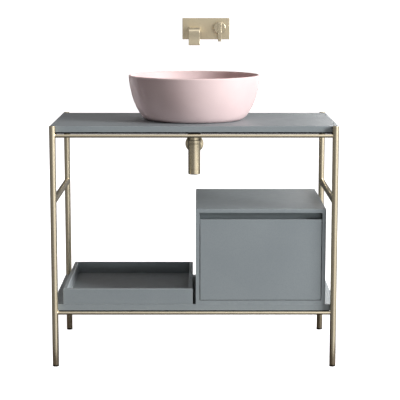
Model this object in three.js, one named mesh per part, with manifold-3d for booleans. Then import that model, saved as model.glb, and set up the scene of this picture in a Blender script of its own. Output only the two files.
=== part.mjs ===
// A washstand: a round ceramic basin on a lacquered worktop, carried by a frame of metal tubes and
// rods. A shelf holds a loose tray and a drawer unit, a bottle trap hangs under the worktop, and a
// mixer tap is fixed to the wall above the basin.
//
// Millimetres, +Z up, +X to the right, and the front faces -Y. The origin is on the floor under the
// middle of the frame. The wall is the plane y = frame.depth / 2.

import * as THREE from 'three';
import { mergeVertices } from 'three/addons/utils/BufferGeometryUtils.js';
import Module from 'manifold-3d';

const wasm = await Module();
wasm.setup();

// ---------------------------------------------------------------- driving dimensions

const JOINT_GAP = 0.3; // left between pieces that are glued, welded, screwed or rest on each other
const SLIDE_GAP = 0.8; // left between runner members that slide past each other
const BOARD_EDGE = 0.8; // chamfer of a lacquered board

const frame = {
  width: 900,
  depth: 500,
  legHeight: 767,
  legDiameter: 20,
  tubeWall: 1.5,
  railDiameter: 11,
  towelRailDiameter: 20,
  towelRailDrop: 238, // from the top of the legs down to the rail's centre line
  footHeight: 5,
  footPlug: 15, // how far a foot's spigot reaches up into its leg
};
const worktop = {
  thickness: 19,
  legReveal: 1.5, // how far the legs stand above the worktop
  subpanelThickness: 4.5,
  subpanelLip: 1.2, // how far the sub-panel reaches over the inner edges of the front and rear rails
};
const shelf = {
  topHeight: 198.7,
  thickness: 20,
  subpanelThickness: 4.5,
};
const bay = {
  sideMargin: 35, // from the side of the frame to the tray or the drawer unit
  middleGap: 10, // between the tray and the drawer unit
  rearMargin: 20, // from the rear edge of the shelf
};
const tray = { height: 49.7, wall: 12 };
const unit = {
  board: 12,
  trapClearance: 79.7, // from the top of the unit up to the bottom of the trap
  gripOpening: 21, // finger gap above the drawer front
  gripDepth: 34, // from the front of the unit back to the grip rail
  gripRailHeight: 46,
};
const drawer = {
  frontThickness: 16,
  frontReveal: 2, // open line around the sides and bottom of the front
  frontBevel: 9, // slope on the rear of the front's top edge, where the fingers pull
  board: 12,
  bottomThickness: 6,
  bottomRise: 8, // from the lower edge of the drawer's sides up to its bottom panel
  underClearance: 12, // from the unit's base up to the drawer's sides
  sideDrop: 55, // from the top of the drawer front down to the top of its sides
  rearClearance: 20, // from the drawer's back to the unit's back
};
const runner = { height: 45, thickness: 12.7, sheet: 1.2, setBack: 4 };
const basin = {
  rimRadius: 213.6,
  height: 145,
  baseRadius: 149.7,
  lip: 8, // wall at the rim
  floorRise: 22, // from the worktop up to the flat floor of the bowl
  floorRadius: 108,
  drainFall: 2, // how far the floor falls towards the waste
  baseRelief: 2, // the underside is hollowed by this much, so that the basin rests on a ring
  baseRing: 40, // width of that ring
};
const waste = {
  flangeRadius: 33,
  flangeThickness: 3,
  threadRadius: 21,
  holeClearance: 2, // around the thread, through the basin, the worktop and the sub-panel
  threadLength: 71, // below the flange
  tailRadius: 16,
  tailWall: 1.6,
  plugRadius: 30,
  plugDome: 4,
  plugStemRadius: 4,
  plugStemLength: 30,
  washerThickness: 3,
  nutFlats: 56, // across the back nut's flats
  nutHeight: 9,
};
const trap = {
  drop: 68.5, // from the worktop's top down to the top of the inlet nut
  nutRadius: 21,
  nutHeight: 13,
  bottleRadius: 20,
  bottleLength: 99.7,
  bottleWall: 1.5,
  bottomRound: 3,
  dipRadius: 14,
  dipLength: 78,
  outletDrop: 26.7, // from the top of the bottle down to the outlet's centre line
  outletRadius: 16,
  outletWall: 1.2,
  rosetteRadius: 31.5,
  rosetteDepth: 12,
};
const tap = {
  plateWidth: 161,
  plateHeight: 72.5,
  plateThickness: 8,
  plateCorner: 1.5,
  plateEdge: 0.8,
  spoutInset: 41, // from the plate's left edge to the spout's middle
  leverInset: 126.7, // from the plate's left edge to the lever's axis
  outletAboveRim: 93, // from the basin's rim up to the lowest edge of the spout
  plateAboveOutlet: 11.5, // from there up to the plate's lower edge
  spoutReach: 210, // from the wall to the spout's front face
  spoutWidth: 37,
  spoutFall: 53, // from the spout's top face down to its outlet
  armThickness: 14,
  bladeThickness: 12,
  bendRadius: 8,
  innerBend: 4,
  outletSlot: 27,
  outletSlotWidth: 7,
  aeratorHeight: 9,
  leverAxisDrop: 33, // from the plate's top edge down to the lever's axis
  cartridgeRadius: 16,
  cartridgeHeight: 6,
  carrierRadius: 9,
  carrierStemRadius: 7,
  carrierLength: 13.4,
  hubRadius: 20.2,
  hubWall: 3.2,
  hubStandOff: 22, // from the wall to the hub's open end
  hubDepth: 16,
  hubFace: 6, // thickness of the hub's front
  hubRound: 1.5,
  barWidth: 11.5,
  barThickness: 7,
  barSunk: 3, // how deep the bar is let into the hub's front
  barAbove: 16.7, // how far the bar reaches above and below the axis
  barBelow: 45.6,
};

// ---------------------------------------------------------------- derived planes and axes

const legRadius = frame.legDiameter / 2;
const railRadius = frame.railDiameter / 2;
const legX = frame.width / 2 - legRadius;
const legY = frame.depth / 2 - legRadius;
const wallY = frame.depth / 2;
const boardHalfWidth = frame.width / 2;
const boardHalfDepth = legY - legRadius - JOINT_GAP;

const worktopTop = frame.legHeight - worktop.legReveal;
const worktopBottom = worktopTop - worktop.thickness;
const subpanelTop = worktopBottom - JOINT_GAP;
const subpanelBottom = subpanelTop - worktop.subpanelThickness;
const upperRailZ = subpanelBottom - JOINT_GAP - railRadius;
const shelfBottom = shelf.topHeight - shelf.thickness;
const lowerRailZ = shelfBottom - JOINT_GAP - railRadius;
const towelRailZ = frame.legHeight - frame.towelRailDrop;

const wasteHoleRadius = waste.threadRadius + waste.holeClearance;
const trapNutTop = worktopTop - trap.drop;
const bottleTop = trapNutTop - trap.nutHeight - JOINT_GAP;
const bottleBottom = bottleTop - trap.bottleLength;
const outletZ = bottleTop - trap.outletDrop;

const bayBottom = shelf.topHeight + JOINT_GAP;
const bayFront = -boardHalfDepth;
const bayRear = boardHalfDepth - bay.rearMargin;
const bayInner = bay.middleGap / 2;
const bayOuter = frame.width / 2 - bay.sideMargin;
const unitTop = bottleBottom - unit.trapClearance;

const basinZ = worktopTop + JOINT_GAP;

// ---------------------------------------------------------------- materials

const finish = (color, roughness, metalness) =>
  new THREE.MeshStandardMaterial({ color, roughness, metalness });

const champagneMetal = () => finish(0xb9a888, 0.32, 1.0);
const greyLacquer = () => finish(0x7e878c, 0.55, 0.0);
const blackBoard = () => finish(0x151515, 0.8, 0.0);
const pinkCeramic = () => finish(0xd9c0c0, 0.6, 0.0);
const darkPlastic = () => finish(0x2a2926, 0.6, 0.0);
const zincSteel = () => finish(0xb4b8bb, 0.35, 1.0);
const blackRubber = () => finish(0x1c1c1c, 0.9, 0.0);

// ---------------------------------------------------------------- geometry helpers

// A closed geometry as a manifold-3d solid: shared corners are merged and empty triangles dropped.
function toSolid(geometry) {
  const bare = new THREE.BufferGeometry().setAttribute('position', geometry.getAttribute('position'));
  if (geometry.index) bare.setIndex(geometry.index);
  const merged = mergeVertices(bare, 1e-4);
  const corners = merged.index.array;
  const kept = [];
  for (let i = 0; i < corners.length; i += 3) {
    const [a, b, c] = corners.subarray(i, i + 3);
    if (a !== b && b !== c && c !== a) kept.push(a, b, c);
  }
  return new wasm.Manifold(
    new wasm.Mesh({
      numProp: 3,
      vertProperties: merged.attributes.position.array,
      triVerts: new Uint32Array(kept),
    }),
  );
}

function toGeometry(solid) {
  const mesh = solid.getMesh();
  return new THREE.BufferGeometry()
    .setAttribute('position', new THREE.BufferAttribute(mesh.vertProperties, 3))
    .setIndex(new THREE.BufferAttribute(mesh.triVerts, 1));
}

function cut(geometry, ...cutters) {
  return toGeometry(cutters.reduce((left, cutter) => left.subtract(toSolid(cutter)), toSolid(geometry)));
}

function join(...geometries) {
  return toGeometry(geometries.map(toSolid).reduce((whole, next) => whole.add(next)));
}

const points = (pairs) => pairs.map(([r, z]) => new THREE.Vector2(r, z));

// A body turned about Z. Its profile of [radius, height] pairs runs counterclockwise: out along the
// bottom, up the outside and back to where it began, or from the axis to the axis.
function turned(profile, segments) {
  return new THREE.LatheGeometry(points(profile), segments).rotateX(Math.PI / 2);
}

// A ring or tube about Z, from height low to height high.
function ring(inner, outer, low, high, segments) {
  return turned([[inner, low], [outer, low], [outer, high], [inner, high], [inner, low]], segments);
}

// A round bar about Z, from height low to height high.
function bar(radius, low, high, segments) {
  return turned([[0, low], [radius, low], [radius, high], [0, high]], segments);
}

// Points of a quarter circle about (x, y), from the angle start to start + sweep, both in degrees.
function arc(x, y, radius, start, sweep, steps) {
  return Array.from({ length: steps + 1 }, (_, i) => {
    const angle = THREE.MathUtils.degToRad(start + (sweep * i) / steps);
    return [x + radius * Math.cos(angle), y + radius * Math.sin(angle)];
  });
}

// Turns a geometry made along Z so that it lies along another axis.
const along = {
  x: (geometry) => geometry.rotateY(Math.PI / 2),
  y: (geometry) => geometry.rotateX(-Math.PI / 2),
  z: (geometry) => geometry,
};

// A rectangle about the origin with its corners rounded by the radius, which may be 0.
function rectangle(width, height, radius = 0) {
  const [x, y] = [width / 2, height / 2];
  const corner = (cx, cy, start) => (radius ? arc(cx, cy, radius, start, 90, 4) : [[cx, cy]]);
  const [ix, iy] = [x - radius, y - radius];
  return new THREE.Shape(
    points([...corner(ix, iy, 0), ...corner(-ix, iy, 90), ...corner(-ix, -iy, 180), ...corner(ix, -iy, 270)]),
  );
}

// A shape thickened about the plane z = 0, with both its faces chamfered by edge. The shape is given
// at its size within the chamfer.
function slab(shape, thickness, edge) {
  const options = { depth: thickness - 2 * edge, bevelEnabled: edge > 0, bevelThickness: edge };
  return new THREE.ExtrudeGeometry(shape, { ...options, bevelSize: edge, bevelSegments: 1, steps: 1 })
    .translate(0, 0, edge - thickness / 2);
}

// A chamfered board of the given size about the origin, whose broad faces look along the axis.
function board(sizeX, sizeY, sizeZ, axis = 'z', edge = BOARD_EDGE) {
  const sizes = { x: [sizeZ, sizeY, sizeX], y: [sizeX, sizeZ, sizeY], z: [sizeX, sizeY, sizeZ] };
  const [across, up, thick] = sizes[axis];
  return along[axis](slab(rectangle(across - 2 * edge, up - 2 * edge), thick, edge));
}

function node(name, geometry, material, x = 0, y = 0, z = 0) {
  const mesh = new THREE.Mesh(geometry, material);
  mesh.name = name;
  mesh.position.set(x, y, z);
  return mesh;
}

// A board that fills the box between two corners.
function boardBetween(name, low, high, axis, material = greyLacquer()) {
  const [sx, sy, sz] = low.map((v, i) => high[i] - v);
  const [x, y, z] = low.map((v, i) => (v + high[i]) / 2);
  return node(name, board(sx, sy, sz, axis), material, x, y, z);
}

function group(...children) {
  return new THREE.Group().add(...children);
}

// ---------------------------------------------------------------- frame

// A leg is a tube with a closed top. Its foot plugs into the open lower end.
function makeLeg(name, x, y) {
  const bore = legRadius - frame.tubeWall;
  const bottom = frame.footHeight + JOINT_GAP;
  const top = frame.legHeight;
  const profile = [
    [0, top - frame.tubeWall],
    [bore, top - frame.tubeWall],
    [bore, bottom],
    [legRadius, bottom],
    [legRadius, top],
    [0, top],
  ];
  return node(`leg_${name}`, turned(profile, 24), champagneMetal(), x, y, 0);
}

function makeFoot(name, x, y) {
  const spigot = legRadius - frame.tubeWall - JOINT_GAP;
  const profile = [
    [0, 0],
    [legRadius - 1, 0],
    [legRadius, 1],
    [legRadius, frame.footHeight],
    [spigot, frame.footHeight],
    [spigot, frame.footHeight + frame.footPlug],
    [0, frame.footHeight + frame.footPlug],
  ];
  return node(`foot_${name}`, turned(profile, 16), darkPlastic(), x, y, 0);
}

// A bar or tube from one leg to the next, with both ends hollowed to lie round the legs.
function copedRail(name, axis, reach, blank, x, y, z) {
  const legs = [-reach, reach].map((at) => {
    const leg = bar(legRadius + JOINT_GAP, -frame.legDiameter, frame.legDiameter, 24);
    return axis === 'x' ? leg.translate(at, 0, 0) : leg.translate(0, at, 0);
  });
  return node(name, cut(along[axis](blank), ...legs), champagneMetal(), x, y, z);
}

function makeFrame() {
  const assembly = new THREE.Group();
  const corners = [
    ['front_left', -legX, -legY],
    ['front_right', legX, -legY],
    ['rear_left', -legX, legY],
    ['rear_right', legX, legY],
  ];
  for (const corner of corners) assembly.add(makeLeg(...corner), makeFoot(...corner));
  for (const [level, z] of [['upper', upperRailZ], ['lower', lowerRailZ]]) {
    const rod = (reach) => bar(railRadius, -reach, reach, 16);
    assembly.add(
      copedRail(`${level}_rail_front`, 'x', legX, rod(legX), 0, -legY, z),
      copedRail(`${level}_rail_rear`, 'x', legX, rod(legX), 0, legY, z),
      copedRail(`${level}_rail_left`, 'y', legY, rod(legY), -legX, 0, z),
      copedRail(`${level}_rail_right`, 'y', legY, rod(legY), legX, 0, z),
    );
  }
  const towelRadius = frame.towelRailDiameter / 2;
  for (const [side, x] of [['left', -legX], ['right', legX]]) {
    const tube = ring(towelRadius - frame.tubeWall, towelRadius, -legY, legY, 24);
    assembly.add(copedRail(`towel_rail_${side}`, 'y', legY, tube, x, 0, towelRailZ));
  }
  return assembly;
}

// ---------------------------------------------------------------- worktop, sub-panel and shelf

function roundHole(radius) {
  const edge = new THREE.Path();
  edge.absarc(0, 0, radius, 0, 2 * Math.PI, true);
  return edge;
}

function makeWorktop() {
  const shape = rectangle(2 * (boardHalfWidth - BOARD_EDGE), 2 * (boardHalfDepth - BOARD_EDGE));
  shape.holes.push(roundHole(wasteHoleRadius + BOARD_EDGE));
  const z = (worktopTop + worktopBottom) / 2;
  return node('worktop', slab(shape, worktop.thickness, BOARD_EDGE), greyLacquer(), 0, 0, z);
}

// The sub-panel lies on the side rails. Between the legs it reaches out over the front and rear
// rails, so its outline is a cross with a notch round each leg.
function makeSubpanel() {
  const [outerX, outerY] = [boardHalfWidth - 1, legY - railRadius + worktop.subpanelLip];
  const [notchX, notchY] = [legX - legRadius - 1, boardHalfDepth];
  const outline = [];
  for (const [sx, sy] of [[1, 1], [-1, 1], [-1, -1], [1, -1]]) {
    const notch = [[outerX, notchY], [notchX, notchY], [notchX, outerY]];
    if (sx * sy < 0) notch.reverse();
    outline.push(...notch.map(([x, y]) => [sx * x, sy * y]));
  }
  const shape = new THREE.Shape(points(outline));
  shape.holes.push(roundHole(wasteHoleRadius));
  const z = (subpanelTop + subpanelBottom) / 2;
  return node('worktop_subpanel', slab(shape, worktop.subpanelThickness, 0), blackBoard(), 0, 0, z);
}

function makeShelf() {
  const low = [-boardHalfWidth, -boardHalfDepth, shelfBottom];
  return boardBetween('shelf', low, [boardHalfWidth, boardHalfDepth, shelf.topHeight], 'z');
}

// The shelf's sub-panel fills the space between the lower rails and holds the shelf in place.
function makeShelfSubpanel() {
  const top = shelfBottom - JOINT_GAP;
  const halfWidth = legX - legRadius - JOINT_GAP;
  const halfDepth = legY - railRadius - JOINT_GAP;
  const shape = new THREE.Shape(points([
    [halfWidth, halfDepth], [-halfWidth, halfDepth], [-halfWidth, -halfDepth], [halfWidth, -halfDepth],
  ]));
  const z = top - shelf.subpanelThickness / 2;
  return node('shelf_subpanel', slab(shape, shelf.subpanelThickness, 0), blackBoard(), 0, 0, z);
}

// ---------------------------------------------------------------- loose tray

// The front and rear walls run the full width, and the side walls and base fit between them.
function makeTray() {
  const [left, right] = [-bayOuter, -bayInner];
  const [inLeft, inRight] = [left + tray.wall + JOINT_GAP, right - tray.wall - JOINT_GAP];
  const [inFront, inRear] = [bayFront + tray.wall + JOINT_GAP, bayRear - tray.wall - JOINT_GAP];
  const top = bayBottom + tray.height;
  const wallRight = left + tray.wall;
  return group(
    boardBetween('tray_front', [left, bayFront, bayBottom], [right, bayFront + tray.wall, top], 'y'),
    boardBetween('tray_rear', [left, bayRear - tray.wall, bayBottom], [right, bayRear, top], 'y'),
    boardBetween('tray_left', [left, inFront, bayBottom], [wallRight, inRear, top], 'x'),
    boardBetween('tray_right', [right - tray.wall, inFront, bayBottom], [right, inRear, top], 'x'),
    boardBetween('tray_base', [inLeft, inFront, bayBottom], [inRight, inRear, bayBottom + tray.wall], 'z'),
  );
}

// ---------------------------------------------------------------- drawer unit

const unitInner = {
  left: bayInner + unit.board,
  right: bayOuter - unit.board,
  bottom: bayBottom + unit.board,
  top: unitTop - unit.board,
  rear: bayRear - unit.board,
};

// The top and base run the full width and depth, and the sides and back fit between them.
function makeUnitCase() {
  const [left, right, front, rear] = [bayInner, bayOuter, bayFront, bayRear];
  const [low, high] = [unitInner.bottom + JOINT_GAP, unitInner.top - JOINT_GAP];
  const sideRear = rear - unit.board - JOINT_GAP;
  const railFront = front + unit.gripDepth;
  const railLow = [unitInner.left + JOINT_GAP, railFront, high - unit.gripRailHeight];
  const railHigh = [unitInner.right - JOINT_GAP, railFront + unit.board, high];
  return group(
    boardBetween('unit_top', [left, front, unitInner.top], [right, rear, unitTop], 'z'),
    boardBetween('unit_base', [left, front, bayBottom], [right, rear, unitInner.bottom], 'z'),
    boardBetween('unit_left_side', [left, front, low], [unitInner.left, sideRear, high], 'x'),
    boardBetween('unit_right_side', [unitInner.right, front, low], [right, sideRear, high], 'x'),
    boardBetween('unit_back', [left, unitInner.rear, low], [right, rear, high], 'y'),
    boardBetween('grip_rail', railLow, railHigh, 'y'),
  );
}

const drawerFrontTop = unitInner.top - unit.gripOpening;
const drawerFrontBottom = unitInner.bottom + drawer.frontReveal;
const drawerBox = {
  left: unitInner.left + runner.thickness + 2 * JOINT_GAP,
  right: unitInner.right - runner.thickness - 2 * JOINT_GAP,
  front: bayFront + drawer.frontThickness + JOINT_GAP,
  rear: unitInner.rear - drawer.rearClearance,
  bottom: unitInner.bottom + drawer.underClearance,
  top: drawerFrontTop - drawer.sideDrop,
};

// The front is a board whose top edge slopes down towards the rear, so that fingers hook behind it.
function makeDrawerFront() {
  const [half, edge] = [drawer.frontThickness / 2, BOARD_EDGE];
  const height = drawerFrontTop - drawerFrontBottom;
  const width = unitInner.right - unitInner.left - 2 * drawer.frontReveal;
  const outline = [
    [-half + edge, 0],
    [half, 0],
    [half, height - drawer.frontBevel],
    [half - drawer.frontBevel, height],
    [-half + edge, height],
    [-half, height - edge],
    [-half, edge],
  ];
  const front = new THREE.ExtrudeGeometry(new THREE.Shape(points(outline)), {
    depth: width,
    bevelEnabled: false,
    steps: 1,
  });
  // The outline's x becomes Y and its y becomes Z, and the extrusion runs along X.
  front.translate(0, 0, -width / 2).rotateX(Math.PI / 2).rotateZ(Math.PI / 2);
  const x = (unitInner.left + unitInner.right) / 2;
  return node('drawer_front', front, greyLacquer(), x, bayFront + half, drawerFrontBottom);
}

function makeDrawerBox() {
  const { left, right, front, rear, bottom, top } = drawerBox;
  const [inLeft, inRight] = [left + drawer.board, right - drawer.board];
  const backFront = rear - drawer.board;
  const panelBottom = bottom + drawer.bottomRise;
  const panelTop = panelBottom + drawer.bottomThickness;
  const backLow = [inLeft + JOINT_GAP, backFront, bottom];
  const panelLow = [inLeft + JOINT_GAP, front, panelBottom];
  return group(
    boardBetween('drawer_left_side', [left, front, bottom], [inLeft, rear, top], 'x'),
    boardBetween('drawer_right_side', [inRight, front, bottom], [right, rear, top], 'x'),
    boardBetween('drawer_back', backLow, [inRight - JOINT_GAP, rear, top], 'y'),
    boardBetween('drawer_bottom', panelLow, [inRight - JOINT_GAP, backFront - JOINT_GAP, panelTop], 'z'),
  );
}

// A bent-sheet channel along Y. Its web is at x = 0 and its flanges point towards +X.
function channel(height, depth, length) {
  const [h, s] = [height / 2, runner.sheet];
  const lowerHalf = [[0, -h], [depth, -h], [depth, s - h], [s, s - h]];
  const upperHalf = lowerHalf.map(([x, y]) => [x, -y]).reverse();
  const outline = [...lowerHalf, ...upperHalf];
  const bent = new THREE.ExtrudeGeometry(new THREE.Shape(points(outline)), {
    depth: length,
    bevelEnabled: false,
    steps: 1,
  });
  return bent.translate(0, 0, -length / 2).rotateX(Math.PI / 2);
}

// Three nested channels make a full-extension runner, as high as the middle of the drawer's sides.
// The group's x axis points from the unit's side to the drawer's side.
function makeRunner(side) {
  const step = runner.sheet + SLIDE_GAP;
  const innerDepth = runner.thickness - step;
  const length = drawerBox.rear - drawerBox.front - 2 * runner.setBack;
  const caseMember = channel(runner.height, innerDepth, length);
  const middleMember = channel(runner.height - 2 * step, innerDepth - step, length);
  const drawerMember = channel(runner.height - 4 * step, innerDepth - step, length).rotateZ(Math.PI);
  const assembly = group(
    node(`runner_${side}_case`, caseMember, zincSteel()),
    node(`runner_${side}_middle`, middleMember, zincSteel(), step, 0, 0),
    node(`runner_${side}_drawer`, drawerMember, zincSteel(), runner.thickness, 0, 0),
  );
  const isLeft = side === 'left';
  const x = isLeft ? unitInner.left + JOINT_GAP : unitInner.right - JOINT_GAP;
  assembly.position.set(x, (drawerBox.front + drawerBox.rear) / 2, (drawerBox.bottom + drawerBox.top) / 2);
  assembly.rotation.z = isLeft ? 0 : Math.PI;
  return assembly;
}

// ---------------------------------------------------------------- basin and waste

// The bowl's outer side is one curve from the base to the rim. Its inner side follows it at the
// wall's thickness, and then runs in over the floor to the recess that the waste's flange sits in.
function makeBasin() {
  const { rimRadius, height, baseRadius, lip, floorRise, floorRadius } = basin;
  const lipRadius = lip / 2;
  const rimHeight = height - lipRadius;
  const curve = (...pairs) => new THREE.CubicBezierCurve(...points(pairs));
  const outer = curve(
    [baseRadius, 0],
    [baseRadius + 23, 0],
    [rimRadius - 5.2, 57],
    [rimRadius, rimHeight],
  );
  const inner = curve(
    [rimRadius - lip, rimHeight],
    [rimRadius - lip - 6.5, 64],
    [baseRadius + 20, floorRise + 1],
    [floorRadius, floorRise],
  );
  const pairs = (path, steps) => path.getPoints(steps).map(({ x, y }) => [x, y]);
  const recessRadius = waste.flangeRadius + 1;
  const drainTop = floorRise - basin.drainFall;
  const recessFloor = drainTop - waste.flangeThickness;
  const ringInner = baseRadius - basin.baseRing;
  const profile = [
    [wasteHoleRadius, basin.baseRelief],
    [ringInner, basin.baseRelief],
    [ringInner + basin.baseRelief, 0],
    ...pairs(outer, 10),
    ...arc(rimRadius - lipRadius, rimHeight, lipRadius, 0, 180, 4).slice(1, -1),
    ...pairs(inner, 10),
    [recessRadius, drainTop],
    [recessRadius, recessFloor],
    [wasteHoleRadius, recessFloor],
    [wasteHoleRadius, basin.baseRelief],
  ];
  return node('basin', turned(profile, 48), pinkCeramic(), 0, 0, basinZ);
}

const flangeBottom = basinZ + basin.floorRise - basin.drainFall - waste.flangeThickness + JOINT_GAP;
const flangeTop = flangeBottom + waste.flangeThickness;

// The waste is one turned piece: a flange in the bowl, a thread through the boards and a tail pipe
// that reaches down into the trap's inlet nut.
function makeWaste() {
  const { flangeRadius, threadRadius, tailRadius, tailWall, plugRadius, plugDome } = waste;
  const bore = tailRadius - tailWall;
  const threadBottom = flangeBottom - waste.threadLength;
  const tailBottom = trapNutTop - trap.nutHeight / 2;
  const body = turned(
    [
      [bore, tailBottom],
      [tailRadius, tailBottom],
      [tailRadius, threadBottom],
      [threadRadius, threadBottom],
      [threadRadius, flangeBottom],
      [flangeRadius, flangeBottom],
      [flangeRadius, flangeTop],
      [bore, flangeTop],
      [bore, tailBottom],
    ],
    32,
  );
  const plugZ = flangeTop + JOINT_GAP;
  const plug = turned(
    [
      [0, -waste.plugStemLength],
      [waste.plugStemRadius, -waste.plugStemLength],
      [waste.plugStemRadius, 0],
      [plugRadius, 0],
      [plugRadius, 1.5],
      [plugRadius * 0.8, plugDome * 0.8],
      [plugRadius * 0.4, plugDome],
      [0, plugDome],
    ],
    32,
  );
  const washerTop = subpanelBottom - JOINT_GAP;
  const washerBottom = washerTop - waste.washerThickness;
  const nutTop = washerBottom - JOINT_GAP;
  const threadHole = threadRadius + JOINT_GAP;
  const washer = ring(threadHole, waste.nutFlats / 2, washerBottom, washerTop, 24);
  const hexagon = new THREE.Shape(points(arc(0, 0, waste.nutFlats / Math.sqrt(3), 0, 300, 5)));
  hexagon.holes.push(roundHole(threadHole));
  return group(
    node('waste_body', body, champagneMetal()),
    node('waste_plug', plug, champagneMetal(), 0, 0, plugZ),
    node('waste_washer', washer, blackRubber()),
    node('waste_backnut', slab(hexagon, waste.nutHeight, 0), zincSteel(), 0, 0, nutTop - waste.nutHeight / 2),
  );
}

// ---------------------------------------------------------------- trap

function makeTrap() {
  const { nutRadius, nutHeight, bottleRadius, bottleWall, bottomRound, dipRadius } = trap;
  const bottleBore = bottleRadius - bottleWall;
  const tailHole = waste.tailRadius + JOINT_GAP;
  const groove = nutHeight * 0.3;
  const nut = turned(
    [
      [tailHole, 0],
      [nutRadius - 1, 0],
      [nutRadius - 1, groove - 1],
      [nutRadius, groove],
      [nutRadius, nutHeight - 1],
      [nutRadius - 1, nutHeight],
      [tailHole, nutHeight],
      [tailHole, 0],
    ],
    32,
  );
  const cup = turned(
    [
      [0, 0],
      [bottleRadius - bottomRound, 0],
      ...arc(bottleRadius - bottomRound, bottomRound, bottomRound, -90, 90, 3).slice(1),
      [bottleRadius, trap.bottleLength],
      [bottleBore, trap.bottleLength],
      [bottleBore, bottomRound],
      [0, bottomRound],
    ],
    32,
  );
  const outletHeight = trap.bottleLength - trap.outletDrop;
  const sideHole = along.y(bar(trap.outletRadius - trap.outletWall, 0, 2 * bottleRadius, 24));
  const bottle = cut(cup, sideHole.translate(0, 0, outletHeight));

  // The dip tube hangs in the bottle by a collar just inside its mouth.
  const collar = 3;
  const dipBore = dipRadius - 1;
  const dipTube = turned(
    [
      [dipBore, -trap.dipLength],
      [dipRadius, -trap.dipLength],
      [dipRadius, -collar],
      [bottleBore - JOINT_GAP, -collar],
      [bottleBore - JOINT_GAP, 0],
      [dipBore, 0],
      [dipBore, -trap.dipLength],
    ],
    24,
  );

  // The outlet pipe ends against the bottle's round side, and runs level to the wall.
  const pipe = cut(
    along.y(ring(trap.outletRadius - trap.outletWall, trap.outletRadius, 0, wallY, 24)),
    bar(bottleRadius + JOINT_GAP, -2 * bottleRadius, 2 * bottleRadius, 32),
  );

  const rosetteHole = trap.outletRadius + JOINT_GAP;
  const { rosetteRadius, rosetteDepth } = trap;
  const rosetteTop = rosetteHole + 3;
  const rosette = turned(
    [
      [rosetteHole, 0],
      [rosetteRadius, 0],
      [rosetteRadius, 1.5],
      ...new THREE.QuadraticBezierCurve(
        ...points([[rosetteRadius - 1, 3], [rosetteTop + 3, 4], [rosetteTop, rosetteDepth]]),
      ).getPoints(4).map(({ x, y }) => [x, y]),
      [rosetteHole, rosetteDepth],
      [rosetteHole, 0],
    ],
    32,
  );
  return group(
    node('trap_nut', nut, champagneMetal(), 0, 0, trapNutTop - nutHeight),
    node('trap_bottle', bottle, champagneMetal(), 0, 0, bottleBottom),
    node('trap_dip_tube', dipTube, darkPlastic(), 0, 0, bottleTop - JOINT_GAP),
    node('trap_outlet_pipe', pipe, champagneMetal(), 0, 0, outletZ),
    node('wall_rosette', rosette.rotateX(Math.PI / 2), champagneMetal(), 0, wallY, outletZ),
  );
}

// ---------------------------------------------------------------- wall tap

// All of the tap is made in a frame whose origin is on the wall at the spout outlet's height, with x
// to the right, y up and z out of the wall.

const plateBottom = tap.plateAboveOutlet;
const plateTop = plateBottom + tap.plateHeight;
const tapFront = tap.plateThickness + JOINT_GAP;

function makePlate() {
  const inset = 2 * tap.plateEdge;
  const outline = rectangle(tap.plateWidth - inset, tap.plateHeight - inset, tap.plateCorner);
  const x = tap.plateWidth / 2 - tap.spoutInset;
  const plate = slab(outline, tap.plateThickness, tap.plateEdge);
  return node('tap_plate', plate, champagneMetal(), x, (plateBottom + plateTop) / 2, tap.plateThickness / 2);
}

// The spout is a bent blade: level out of the plate, round a bend, and down to the outlet slot.
function makeSpout() {
  const { spoutReach: reach, spoutFall: fall, bendRadius, innerBend, spoutWidth } = tap;
  const under = fall - tap.armThickness;
  const back = reach - tap.bladeThickness;
  const outline = [
    [tapFront, under],
    [back - innerBend, under],
    ...arc(back - innerBend, under - innerBend, innerBend, 90, -90, 3).slice(1),
    [back, 0],
    [reach, 0],
    ...arc(reach - bendRadius, fall - bendRadius, bendRadius, 0, 90, 6),
    [tapFront, fall],
  ];
  const blade = new THREE.ExtrudeGeometry(new THREE.Shape(points(outline)), {
    depth: spoutWidth,
    bevelEnabled: false,
    steps: 1,
  });
  // The outline's x becomes z, out of the wall, and the extrusion runs along x.
  blade.translate(0, 0, -spoutWidth / 2).rotateY(-Math.PI / 2);
  const outletZ0 = reach - tap.bladeThickness / 2;
  const pocketHeight = tap.aeratorHeight + 2;
  const pocket = new THREE.BoxGeometry(tap.outletSlot, 2 * pocketHeight, tap.outletSlotWidth);
  const aerator = board(
    tap.outletSlot - 2 * JOINT_GAP,
    tap.aeratorHeight,
    tap.outletSlotWidth - 2 * JOINT_GAP,
    'y',
    0.5,
  );
  return group(
    node('tap_spout', cut(blade, pocket.translate(0, 0, outletZ0)), champagneMetal()),
    node('tap_aerator', aerator, darkPlastic(), 0, tap.aeratorHeight / 2 + 1, outletZ0),
  );
}

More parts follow.
